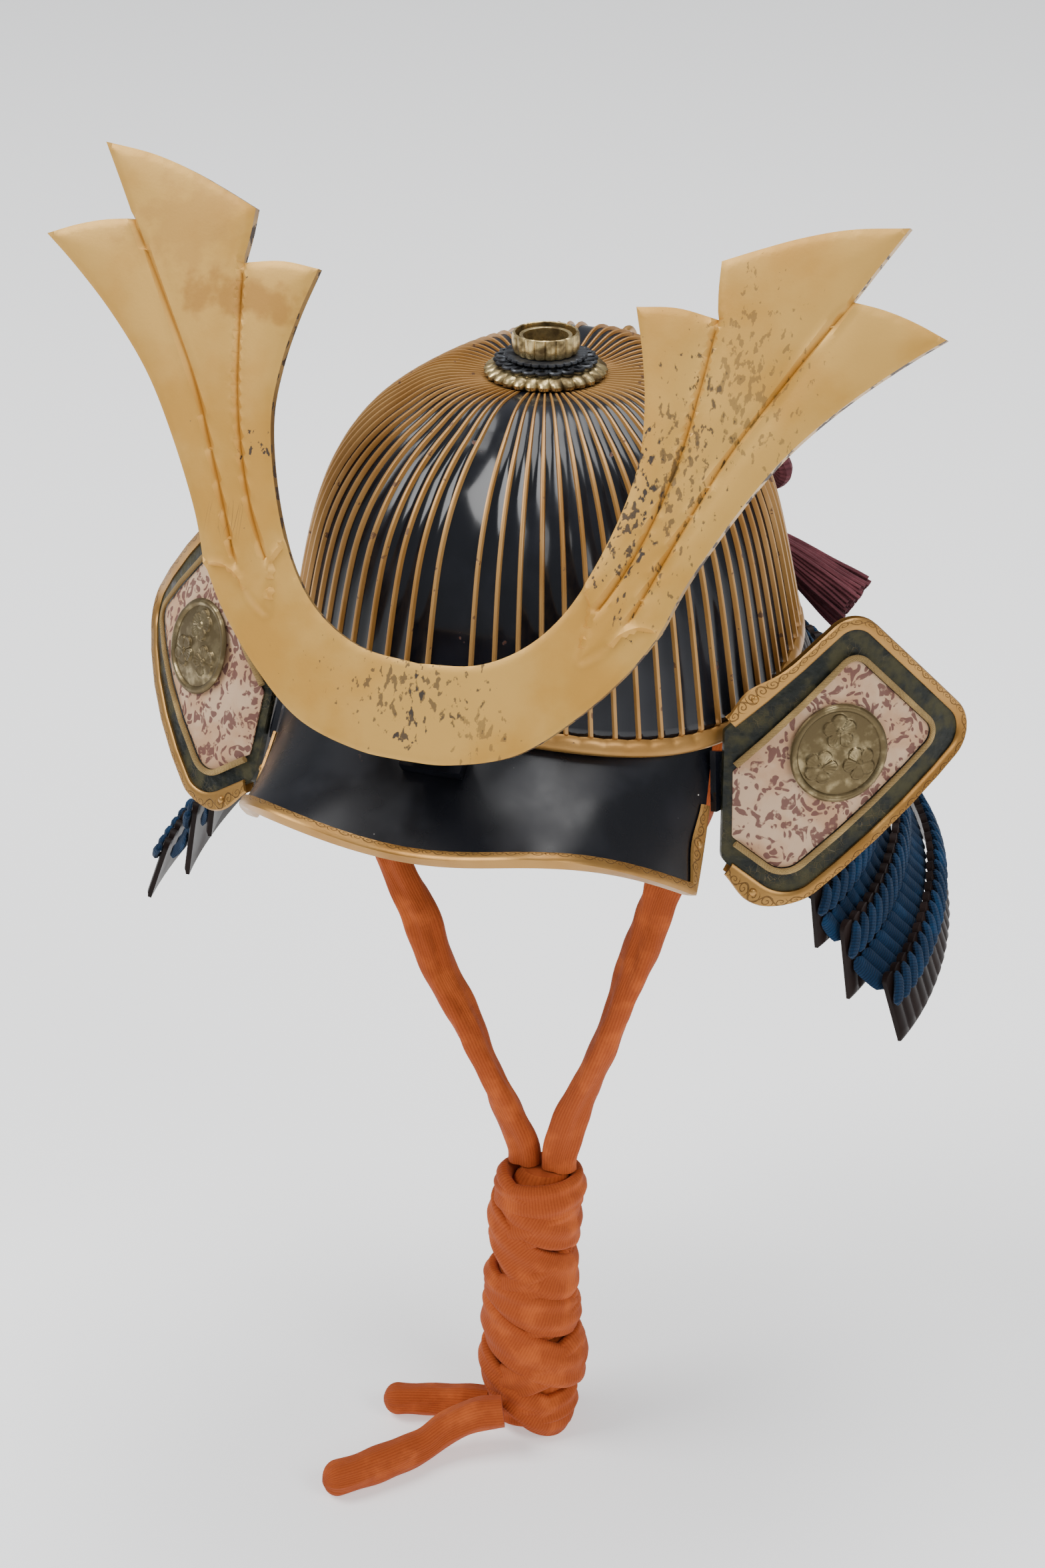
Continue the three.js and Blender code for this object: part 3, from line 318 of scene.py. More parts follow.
    def build(self, name: str, slot: str, node: str, *finishes: "Finish", sharp: float = 38) -> Piece:
        """Makes the object, which rides on the helmet and stands for a CAD node.

        Args:
            name: the piece's name.
            slot: the record's material slot; not used.
            node: the CAD node.
            finishes: one for each of the mesh's slots.
            sharp: the angle in degrees from which an edge is shaded sharp.

        Returns:
            The object, in metres from a draft in millimetres.
        """
        mesh = bpy.data.meshes.new(name)
        mesh.from_pydata((np.vstack(self.points) * MM).tolist(), [], self.faces)
        for finish in finishes:
            mesh.materials.append(finish.made)
        mesh.polygons.foreach_set("material_index", self.slots)
        layer = mesh.uv_layers.new(name="surface")
        corners = np.array([c for face in self.corners for c in face], np.float32)
        layer.uv.foreach_set("vector", corners.ravel())
        mesh.shade_smooth()
        mesh.set_sharp_from_angle(angle=math.radians(sharp))
        made = bpy.data.objects.new(name, mesh)
        bpy.context.scene.collection.objects.link(made)
        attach(made, "root")
        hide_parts(node)
        log.info("%s: %d faces", name, len(mesh.polygons))
        return made


# Shader writing


class Shader:
    """Writes nodes into a material or a group."""

    def __init__(self, tree: bpy.types.NodeTree) -> None:
        """Takes the tree that it writes to."""
        self.tree = tree

    def feed(self, socket: Socket, value: object) -> None:
        """Links a socket to a socket, or sets its value.

        Args:
            socket: the socket that takes it.
            value: a socket, a plain value or nothing.
        """
        if isinstance(value, Socket):
            self.tree.links.new(value, socket)
        elif value is not None:
            socket.default_value = value

    def add(self, kind: str, inputs: dict | None = None, **settings: object) -> bpy.types.Node:
        """Adds a node with its settings and inputs.

        Args:
            kind: the node's type.
            inputs: what its inputs take.
            settings: its own settings.

        Returns:
            The node.
        """
        node = self.tree.nodes.new(kind)
        for key, value in settings.items():
            setattr(node, key, value)
        for key, value in (inputs or {}).items():
            self.feed(node.inputs[key], value)
        return node

    def math(self, operation: str, a: object, b: object = None) -> Socket:
        """Returns the result of a calculation on two values."""
        return self.add("ShaderNodeMath", {0: a, 1: b}, operation=operation).outputs[0]

    def plus(self, a: object, b: object) -> Socket:
        """Returns a sum."""
        return self.math("ADD", a, b)

    def less(self, a: object, b: object) -> Socket:
        """Returns a difference."""
        return self.math("SUBTRACT", a, b)

    def times(self, a: object, b: object) -> Socket:
        """Returns a product."""
        return self.math("MULTIPLY", a, b)

    def over(self, a: object, b: object) -> Socket:
        """Returns a quotient."""
        return self.math("DIVIDE", a, b)

    def most(self, a: object, b: object) -> Socket:
        """Returns the larger of two values."""
        return self.math("MAXIMUM", a, b)

    def dress(self, shader: bpy.types.Node, colour: object, roughness: object, normal: object) -> None:
        """Gives a shader its colour, roughness and normal."""
        for key, value in (("Base Color", colour), ("Roughness", roughness), ("Normal", normal)):
            self.feed(shader.inputs[key], value)

    def step(self, value: object, low: float, high: float, start: float = 0, end: float = 1) -> Socket:
        """Returns a smooth rise from start to end as the value goes from low to high."""
        inputs = {"Value": value, "From Min": low, "From Max": high, "To Min": start, "To Max": end}
        return self.add("ShaderNodeMapRange", inputs, interpolation_type="SMOOTHSTEP").outputs["Result"]

    def mix(self, share: object, a: object, b: object) -> Socket:
        """Returns a colour a share of the way from a to b."""
        return self.add("ShaderNodeMix", {0: share, 6: a, 7: b}, data_type="RGBA").outputs[2]

    def noise(self, vector: object, scale: float, detail: float = 3) -> Socket:
        """Returns cloudy noise between 0 and 1."""
        return self.add("ShaderNodeTexNoise", {"Vector": vector, "Scale": scale, "Detail": detail}).outputs[0]

    def cells(self, vector: object, scale: float, feature: str = "F1") -> Socket:
        """Returns the distance inside the cells of a cell pattern."""
        node = self.add("ShaderNodeTexVoronoi", {"Vector": vector, "Scale": scale}, feature=feature)
        return node.outputs["Distance"]

    def stretch(self, vector: object, scale: Sequence[float], turn: Sequence[float] = (0, 0, 0)) -> Socket:
        """Returns coordinates turned and scaled."""
        return self.add("ShaderNodeMapping", {"Vector": vector, "Rotation": turn, "Scale": scale}).outputs[0]

    def place(self) -> Socket:
        """Returns the place in the row frame."""
        return self.add("ShaderNodeTexCoord").outputs["Object"]

    def surface(self) -> Socket:
        """Returns the surface coordinates in millimetres."""
        return self.add("ShaderNodeTexCoord").outputs["UV"]

    def split(self, vector: object) -> tuple[Socket, ...]:
        """Returns a vector's three values."""
        return tuple(self.add("ShaderNodeSeparateXYZ", {0: vector}).outputs)

    def bump(self, height: object, distance: float, strength: float = 1, normal: object = None) -> Socket:
        """Returns a normal that follows a height."""
        inputs = {"Height": height, "Distance": distance, "Strength": strength, "Normal": normal}
        return self.add("ShaderNodeBump", inputs).outputs[0]


class Effect(Enum):
    """Effects that several finishes share."""

    CHIPS = "Chips"
    SCRATCHES = "Scratches"
    STAINS = "Stains"
    CORDING = "Cording"


def write_chips(s: Shader, given: Callable[[str], Socket]) -> Socket:
    """Returns small ragged spots; Amount widens them.

    Args:
        s: writes into the group.
        given: gives the group's inputs by name.

    Returns:
        The mask.
    """
    spots = s.noise(given("Vector"), given("Scale"), 6.0)
    return s.step(s.less(spots, s.less(0.78, given("Amount"))), 0.0, 0.03)


def write_scratches(s: Shader, given: Callable[[str], Socket]) -> Socket:
    """Returns thin broken lines in two directions.

    Args:
        s: writes into the group.
        given: gives the group's inputs by name.

    Returns:
        The mask.
    """
    lines = []
    for turn, length in ((0.5, 14.0), (-0.9, 9.0)):
        laid = s.stretch(given("Vector"), (length, 1.0, 1.0), (0.3, turn, turn))
        lines.append(s.step(s.cells(laid, given("Scale"), "DISTANCE_TO_EDGE"), 0.012, 0.0))
    kept = s.step(s.noise(given("Vector"), given("Scale"), 2.0), 0.72, 0.76)
    kept = s.most(s.times(kept, given("Amount")), 0.0)
    return s.times(s.most(*lines), kept)


def write_stains(s: Shader, given: Callable[[str], Socket]) -> Socket:
    """Returns soft clouds; Amount widens them.

    Args:
        s: writes into the group.
        given: gives the group's inputs by name.

    Returns:
        The mask.
    """
    cloud = s.noise(given("Vector"), given("Scale"), 5.0)
    return s.step(s.less(cloud, s.less(0.7, given("Amount"))), 0.0, 0.25)


def write_cording(s: Shader, given: Callable[[str], Socket]) -> Socket:
    """Returns rounded ridges across the surface's first coordinate; Scale is their pitch.

    Args:
        s: writes into the group.
        given: gives the group's inputs by name.

    Returns:
        The mask.
    """
    across = s.split(given("Vector"))[0]
    turn = s.times(s.over(across, given("Scale")), math.pi)
    return s.times(s.math("ABSOLUTE", s.math("SINE", turn)), given("Amount"))


WRITERS = {
    Effect.CHIPS: write_chips,
    Effect.SCRATCHES: write_scratches,
    Effect.STAINS: write_stains,
    Effect.CORDING: write_cording,
}


def effect_group(kind: Effect) -> bpy.types.NodeTree:
    """Returns an effect's node group, made the first time it is asked for.

    Args:
        kind: the effect.

    Returns:
        The node group.
    """
    made = bpy.data.node_groups.get(kind.value)
    if made:
        return made
    tree = bpy.data.node_groups.new(kind.value, "ShaderNodeTree")
    for name, way, holds in (("Vector", "INPUT", "Vector"), ("Scale", "INPUT", "Float"),
                             ("Amount", "INPUT", "Float"), ("Mask", "OUTPUT", "Float")):
        tree.interface.new_socket(name, in_out=way, socket_type=f"NodeSocket{holds}")
    entry = tree.nodes.new("NodeGroupInput")
    mask = WRITERS[kind](Shader(tree), lambda name: entry.outputs[name])
    tree.links.new(mask, tree.nodes.new("NodeGroupOutput").inputs["Mask"])
    return tree


def effect(s: Shader, kind: Effect, vector: object, scale: float, amount: float) -> Socket:
    """Places a shared effect in a material and returns its mask.

    Args:
        s: writes the material.
        kind: the effect.
        vector: where it is read.
        scale: its scale.
        amount: how much of it there is.

    Returns:
        The mask.
    """
    node = s.add("ShaderNodeGroup", node_tree=effect_group(kind))
    for key, value in (("Vector", vector), ("Scale", scale), ("Amount", amount)):
        s.feed(node.inputs[key], value)
    return node.outputs["Mask"]


def new_material(name: str, constants: dict[str, object]) -> tuple[Material, Shader, bpy.types.Node]:
    """Makes a material.

    Args:
        name: its name.
        constants: values for the shader's own sockets.

    Returns:
        The material, a writer for it and its shader node.
    """
    material = bpy.data.materials.new(f"{name}_finish")
    material.use_nodes = True
    shader = material.node_tree.nodes["Principled BSDF"]
    for key, value in constants.items():
        shader.inputs[key].default_value = value
    return material, Shader(material.node_tree), shader


class Finish:
    """A finish that is written as a material the first time it is used."""

    name: str

    @property
    def made(self) -> Material:
        """Returns the material."""
        return bpy.data.materials.get(f"{self.name}_finish") or self.material()

    def material(self) -> Material:
        """Writes the material."""
        raise NotImplementedError


@dataclass(frozen=True)
class BlackLacquer(Finish):
    """Glossy black lacquer, with chips down to its red-brown ground."""

    name: str
    colour: Colour = (0.004, 0.0045, 0.007, 1)
    ground: Colour = (0.11, 0.04, 0.022, 1)
    chips: float = 0.06
    specks: float = 0.0
    roughness: float = 0.13
    coat: float = 0.15
    shine: float = 0.36

    def material(self) -> Material:
        """Writes the material.

        Returns:
            The material.
        """
        constants = {"Coat Weight": self.coat, "Coat Roughness": 0.06, "Specular IOR Level": self.shine}
        made, s, shader = new_material(self.name, constants)
        place = s.place()
        chips = effect(s, Effect.CHIPS, place, 95.0, self.chips)
        haze = effect(s, Effect.STAINS, place, 30.0, 0.28)
        scratches = effect(s, Effect.SCRATCHES, place, 16.0, 0.7)
        colour = s.mix(haze, self.colour, tuple(1.9 * c for c in self.colour[:3]) + (1,))
        colour = s.mix(s.times(scratches, 0.5), colour, (0.09, 0.09, 0.1, 1))
        colour = s.mix(chips, colour, self.ground)
        if self.specks:
            dots = s.step(s.cells(place, 150.0), 0.07, 0.03)
            rare = s.step(s.noise(place, 38.0, 1), 0.66 - self.specks, 0.7 - self.specks)
            colour = s.mix(s.times(dots, rare), colour, (0.55, 0.52, 0.48, 1))
        rough = s.plus(s.plus(s.times(haze, 0.14), self.roughness), s.times(chips, 0.4))
        uneven = s.less(s.noise(place, 24.0, 2), s.times(chips, 0.4))
        s.dress(shader, colour, rough, s.bump(uneven, 0.0012, 0.35))
        return made


@dataclass(frozen=True)
class RubbedGold(Finish):
    """Gold leaf or gilding rubbed down to a dark ground."""

    name: str
    colour: Colour = (0.74, 0.47, 0.17, 1)
    pale: Colour = (0.84, 0.6, 0.28, 1)
    ground: Colour = (0.05, 0.03, 0.02, 1)
    metallic: float = 0.6
    roughness: float = 0.38
    wear: float = 0.05
    wear_scale: float = 180.0
    scratches: float = 0.5

    def material(self) -> Material:
        """Writes the material.

        Returns:
            The material.
        """
        made, s, shader = new_material(self.name, {})
        place = s.place()
        colour, wear = self.paint(s, place)
        s.feed(shader.inputs["Metallic"], s.step(wear, 0.0, 1.0, self.metallic, 0.0))
        rough = s.plus(s.times(s.noise(place, 60.0, 3), 0.2), self.roughness - 0.1)
        height = s.less(s.times(s.noise(place, 900.0, 2), 0.25), s.times(wear, 0.5))
        normal = s.bump(height, 0.0003, 0.5, self.carved(s))
        s.dress(shader, colour, s.plus(rough, s.times(wear, 0.2)), normal)
        return made

    def paint(self, s: Shader, place: Socket) -> tuple[Socket, Socket]:
        """Returns the colour and the mask of what is rubbed away.

        Args:
            s: writes the material.
            place: the place in the row frame.

        Returns:
            The colour and the mask.
        """
        clouds = effect(s, Effect.STAINS, place, 22.0, 0.35)
        wear = effect(s, Effect.CHIPS, place, self.wear_scale, self.wear)
        lines = effect(s, Effect.SCRATCHES, place, 14.0, self.scratches)
        wear = s.most(wear, lines)
        return s.mix(wear, s.mix(clouds, self.colour, self.pale), self.ground), wear

    def carved(self, s: Shader) -> Socket | None:
        """Returns the normal of what is cut into the gold."""
        return None


@dataclass(frozen=True)
class EngravedGilt(RubbedGold):
    """Gilding engraved with a running scroll of leaves on the surface's own coordinates."""

    pitch: float = 5.2
    middle: float = 2.9

    def scroll(self, s: Shader) -> Socket:
        """Returns the engraved lines as a mask.

        Args:
            s: writes the material.

        Returns:
            The mask.
        """
        across, along, _ = s.split(s.surface())
        cell = s.over(along, self.pitch)
        x = s.times(s.less(s.math("FRACT", cell), 0.5), 2.0)
        y = s.over(s.plus(across, self.middle), self.pitch / 2)
        parity = s.less(s.times(s.math("MODULO", s.math("FLOOR", cell), 2.0), 2.0), 1.0)
        far = s.math("SQRT", s.plus(s.times(x, x), s.times(y, y)))
        turn = s.math("ARCTAN2", s.times(y, parity), x)
        wound = s.plus(s.times(turn, 0.5), s.times(far, 5.2))
        spiral = s.step(s.math("ABSOLUTE", s.math("SINE", wound)), 0.48, 0.2)
        stem = s.less(y, s.times(s.math("SINE", s.times(cell, math.pi)), 0.75))
        stem = s.step(s.math("ABSOLUTE", stem), 0.16, 0.07)
        return s.most(s.times(spiral, s.step(far, 1.0, 0.85)), stem)

    def paint(self, s: Shader, place: Socket) -> tuple[Socket, Socket]:
        """Returns the colour, with painted shade darkening the engraved lines, and the wear."""
        colour, wear = super().paint(s, place)
        # Painted shade: the engraved lines are painted dark brown.
        return s.mix(s.times(self.scroll(s), 0.7), colour, (0.09, 0.045, 0.015, 1)), wear

    def carved(self, s: Shader) -> Socket:
        """Returns the normal of the engraved lines."""
        return s.bump(s.times(self.scroll(s), -1.0), 0.00045, 0.9)


@dataclass(frozen=True)
class Patch:
    """A rubbed or stained patch of the crest: its middle and half sizes in the row frame, in metres."""

    x: float
    z: float
    half_x: float
    half_z: float
    colour: Colour
    strength: float = 1.0
    specks: bool = True


@dataclass(frozen=True)
class CrestLeaf(RubbedGold):
    """Pale gold leaf with the crest's rubbed, stained and dark patches."""

    patches: tuple[Patch, ...] = ()

    def paint(self, s: Shader, place: Socket) -> tuple[Socket, Socket]:
        """Returns the leaf's colour with its patches, and the wear.

        Args:
            s: writes the material.
            place: the place in the row frame.

        Returns:
            The colour and the wear.
        """
        colour, wear = super().paint(s, place)
        x, _, z = s.split(place)
        for patch in self.patches:
            dx = s.over(s.less(x, patch.x), patch.half_x)
            dz = s.over(s.less(z, patch.z), patch.half_z)
            far = s.math("SQRT", s.plus(s.times(dx, dx), s.times(dz, dz)))
            if patch.specks:
                laid = s.stretch(place, (1.0, 1.0, 0.45), (0.0, 0.5, 0.0))
                ragged = s.plus(s.times(far, 0.62), s.times(s.noise(laid, 420.0, 8), 5.0))
                mask = s.step(ragged, 2.62, 2.38)
            else:
                ragged = s.plus(far, s.times(s.noise(place, 110.0, 6), 2.4))
                mask = s.step(ragged, 2.3, 1.6)
            mask = s.times(mask, patch.strength)
            colour = s.mix(mask, colour, patch.colour)
            wear = s.most(wear, s.times(mask, 0.8 if patch.specks else 0.0))
        return colour, wear


@dataclass(frozen=True)
class Metal(Finish):
    """Cast or turned metal with tarnish in its hollows."""

    name: str
    colour: Colour
    tarnish: Colour
    metallic: float = 0.9
    roughness: float = 0.34
    amount: float = 0.3

    def material(self) -> Material:
        """Writes the material.

        Returns:
            The material.
        """
        made, s, shader = new_material(self.name, {"Metallic": self.metallic})
        place = s.place()
        dull = effect(s, Effect.STAINS, place, 160.0, self.amount)
        lines = effect(s, Effect.SCRATCHES, place, 30.0, 0.8)
        rough = s.plus(s.times(dull, 0.25), self.roughness - 0.08)
        s.dress(shader, s.mix(s.most(dull, lines), self.colour, self.tarnish), rough,
                s.bump(s.noise(place, 420.0, 3), 0.0002, 0.5))
        return made


@dataclass(frozen=True)
class MottledLeather(Finish):
    """Dark lacquered leather, dappled green and gold."""

    name: str = "mottled_leather"
    colour: Colour = (0.009, 0.011, 0.008, 1)
    dapple: Colour = (0.05, 0.045, 0.02, 1)
    crack: Colour = (0.13, 0.1, 0.05, 1)

    def material(self) -> Material:
        """Writes the material.

        Returns:
            The material.
        """
        made, s, shader = new_material(self.name, {"Specular IOR Level": 0.22})
        place = s.place()
        dapples = effect(s, Effect.STAINS, place, 130.0, 0.3)
        cracks = s.step(s.cells(place, 420.0, "DISTANCE_TO_EDGE"), 0.05, 0.0)
        cracks = s.times(cracks, effect(s, Effect.STAINS, place, 45.0, 0.22))
        colour = s.mix(cracks, s.mix(dapples, self.colour, self.dapple), self.crack)
        height = s.less(s.noise(place, 350.0, 5), s.times(cracks, 0.6))
        s.dress(shader, colour, s.step(dapples, 0.0, 1.0, 0.34, 0.6), s.bump(height, 0.0006, 0.6))
        return made


@dataclass(frozen=True)
class PrintedLeather(Finish):
    """Pale doeskin printed with small curled flecks."""

    name: str = "printed_leather"
    colour: Colour = (0.5, 0.3, 0.175, 1)
    pale: Colour = (0.58, 0.4, 0.265, 1)
    fleck: Colour = (0.12, 0.045, 0.045, 1)

    def material(self) -> Material:
        """Writes the material.

        Returns:
            The material.
        """
        made, s, shader = new_material(self.name, {"Specular IOR Level": 0.15})
        place = s.place()
        curl = s.add("ShaderNodeTexNoise", {"Vector": place, "Scale": 95.0, "Detail": 1.5}).outputs["Color"]
        turned = s.add("ShaderNodeMix", {0: 0.022, 4: place, 5: curl}, data_type="VECTOR").outputs[1]
        leaves = s.cells(s.stretch(turned, (1.0, 1.0, 0.5), (0.4, 0.7, 0.2)), 235.0)
        other = s.cells(s.stretch(turned, (0.5, 1.0, 1.0), (0.9, -0.6, 0.5)), 190.0)
        flecks = s.most(s.step(leaves, 0.43, 0.37), s.step(other, 0.37, 0.31))
        rubbed = s.step(s.noise(place, 330.0, 3), 0.34, 0.46)
        mask = s.times(s.times(flecks, rubbed), 0.86)
        colour = s.mix(effect(s, Effect.STAINS, place, 60.0, 0.32), self.colour, self.pale)
        s.dress(shader, s.mix(mask, colour, self.fleck), s.step(mask, 0.0, 1.0, 0.86, 0.7),
                s.bump(s.noise(place, 1500.0, 3), 0.0003, 0.4))
        return made


@dataclass(frozen=True)
class Cloth(Finish):
    """Cotton or silk with ridges, threads and worn tones, and painted shade in the grooves between the
    ridges.
    """

    name: str
    colour: Colour
    # deep: the colour of the painted shade in the grooves between the ridges, and of the worn and thread
    # tone.
    deep: Colour
    ridge: float = 1.1
    ridge_depth: float = 0.5
    sheen: float = 0.04
    thread: float = 1400.0

    def material(self) -> Material:
        """Writes the material.

        Returns:
            The material.
        """
        constants = {"Sheen Weight": self.sheen, "Sheen Roughness": 0.5, "Specular IOR Level": 0.12}
        made, s, shader = new_material(self.name, constants)
        place = s.place()
        ridges = effect(s, Effect.CORDING, s.surface(), self.ridge, 1.0)
        threads = s.noise(place, self.thread, 2)
        worn = effect(s, Effect.STAINS, place, 70.0, 0.24)
        # Painted shade: the colour goes toward the deep colour in the grooves between the ridges, mixed with
        # real worn stains and random thread tone.
        tone = s.plus(s.times(ridges, 0.35), s.times(worn, 0.65))
        tone = s.plus(s.times(tone, 0.75), s.times(threads, 0.3))
        height = s.plus(s.times(ridges, self.ridge_depth), s.times(threads, 0.4))
        s.dress(shader, s.mix(tone, self.deep, self.colour), s.step(worn, 0.0, 1.0, 0.82, 0.95),
                s.bump(height, 0.0005, 0.8))
        return made


DARK = (0.02, 0.014, 0.012, 1)
PATCHES = (
    Patch(0.001, 0.014, 0.0045, 0.024, DARK, 0.9),
    Patch(-0.004, 0.028, 0.03, 0.012, DARK, 0.75),
    Patch(0.03, 0.018, 0.012, 0.01, DARK, 0.5),
    Patch(0.078, 0.094, 0.009, 0.028, DARK, 0.9),
    Patch(0.094, 0.116, 0.015, 0.034, DARK, 0.7),
    Patch(0.115, 0.15, 0.02, 0.03, DARK, 0.5),
    Patch(-0.08, 0.106, 0.006, 0.0055, DARK, 0.95),
    Patch(-0.098, 0.158, 0.03, 0.01, (0.36, 0.15, 0.02, 1), 0.6, False),
    Patch(-0.125, 0.182, 0.03, 0.02, (0.42, 0.2, 0.04, 1), 0.35, False),
)
BLACK = BlackLacquer("black_lacquer")
VISOR_BLACK = BlackLacquer("visor_lacquer", chips=0.03, specks=0.05, roughness=0.27, coat=0.0)
INSIDE = BlackLacquer("inner_lacquer", colour=(0.03, 0.012, 0.01, 1), chips=0.1, roughness=0.4)
BROWN = BlackLacquer("brown_lacquer", colour=(0.012, 0.007, 0.006, 1), ground=(0.05, 0.03, 0.025, 1),
                     chips=0.05, roughness=0.4, coat=0.0, shine=0.1)
RIB_GOLD = RubbedGold("rib_gold", colour=(0.4, 0.19, 0.045, 1), pale=(0.5, 0.27, 0.085, 1), metallic=0.3,
                      wear=0.12, ground=(0.16, 0.075, 0.03, 1), roughness=0.34, scratches=0.2)
CREST_LEAF = CrestLeaf("crest_leaf", colour=(0.55, 0.28, 0.045, 1), pale=(0.63, 0.36, 0.08, 1), metallic=0.35,
                       roughness=0.46, wear=0.045, wear_scale=230.0, scratches=0.8, patches=PATCHES)
CREST_EDGE = RubbedGold("crest_edge", colour=(0.28, 0.16, 0.06, 1), pale=(0.5, 0.32, 0.13, 1), wear=0.25)
GILT = EngravedGilt("engraved_gilt", colour=(0.29, 0.135, 0.027, 1), pale=(0.4, 0.215, 0.06, 1),
                    metallic=0.75)
PLAIN_GILT = RubbedGold("plain_gilt", colour=(0.33, 0.155, 0.03, 1), pale=(0.43, 0.23, 0.065, 1),
                        metallic=0.6, wear=0.08)
CROWN_GILT = Metal("crown_gilt", (0.6, 0.46, 0.22, 1), (0.13, 0.09, 0.04, 1), roughness=0.34)
PATINA = Metal("patina", (0.07, 0.075, 0.085, 1), (0.015, 0.015, 0.018, 1), roughness=0.45, metallic=0.7)
BLUE_SILK = Cloth("blue_silk", (0.008, 0.042, 0.105, 1), (0.0015, 0.007, 0.02, 1), ridge=1.3, sheen=0.06)
PURPLE_SILK = Cloth("purple_silk", (0.2, 0.062, 0.075, 1), (0.06, 0.017, 0.022, 1), ridge=1.4)
ORANGE_COTTON = Cloth("orange_cotton", (0.56, 0.125, 0.03, 1), (0.27, 0.045, 0.01, 1), ridge=1.2,
                      ridge_depth=0.35)
GOLD_BRAID = Cloth("gold_braid", (0.5, 0.33, 0.13, 1), (0.2, 0.13, 0.05, 1), ridge=0.9, ridge_depth=0.8)
MOTTLED = MottledLeather()
PRINTED = PrintedLeather()
MEDAL = Metal("medallion_brass", (0.3, 0.235, 0.125, 1), (0.13, 0.095, 0.045, 1), roughness=0.32, amount=0.4)


# The bowl and what follows its form, in millimetres


@dataclass(frozen=True)
class Form:
    """The bowl's form. Azimuths are radians from the front toward +X."""

    half_width: float = 107
    front: float = 111
    rear: float = 114
    squareness: float = 2.15
    height_front: float = 116
    height_side: float = 119
    height_rear: float = 130
    crown_height: float = 112
    crown_flat: float = 27
    crown_blend: float = 34
    taper: float = 0.225
    dip: float = 13
    dip_azimuth: float = math.radians(62)
    dip_spread: float = math.radians(60)

    def plan_radius(self, phi: Array) -> Array:
        """Returns the radius of the lower edge.

        Args:
            phi: azimuths.

        Returns:
            The radii.
        """
        side = np.abs(np.sin(phi)) / self.half_width
        end = np.abs(np.cos(phi)) / np.where(np.cos(phi) > 0, self.front, self.rear)
        return (side**self.squareness + end**self.squareness) ** (-1 / self.squareness)

    def rim_up(self, phi: Array) -> Array:
        """Returns the height of the lower edge, which dips at the temples.

        Args:
            phi: azimuths.

        Returns:
            The heights.
        """
        turned = (np.asarray(phi) + math.pi) % FULL_TURN - math.pi
        away = np.minimum(1, np.abs(np.abs(turned) - self.dip_azimuth) / self.dip_spread)
        return -self.dip * 0.5 * (1 + np.cos(math.pi * away))

    def on_rim(self, phi: Array, out: Array | float, down: Array | float) -> Array:
        """Returns points out from and below the lower edge."""
        return polar(phi, self.plan_radius(phi) + out, self.rim_up(phi) - down)

    def face(self, phi: Array, climb: Array) -> Array:
        """Returns points of the outer face; climb goes from 0 at the rim to a quarter turn.

        Args:
            phi: azimuths.
            climb: 0 at the rim to a quarter turn at the crown.

        Returns:
            The points.
        """
        c = np.cos(phi)
        ends = np.where(c > 0, self.height_front, self.height_rear)
        height = self.height_side + c * c * (ends - self.height_side)
        rise = np.sin(climb) ** 0.4
        share = np.cos(climb) * (1 - self.taper * rise)
        radius = share * lerp(self.plan_radius(phi), self.half_width, smoothstep(rise, 0.5, 1))
        to_crown = smoothstep(radius, self.crown_flat, self.crown_flat + self.crown_blend)
        z = lerp(self.crown_height, height * rise, to_crown) + self.rim_up(phi) * (1 - rise) ** 2
        return polar(phi, radius, z)


def grid_normals(points: Array, wrap: bool = False) -> Array:
    """Returns the normals of a grid, from its rows and columns.

    Args:
        points: rows by columns by three.
        wrap: whether each row runs back to its start.

    Returns:
        The normals.
    """
    down = np.gradient(points, axis=0)
    if wrap:
        across = np.roll(points, -1, axis=1) - np.roll(points, 1, axis=1)
    else:
        across = np.gradient(points, axis=1)
    return unit(np.cross(across, down))


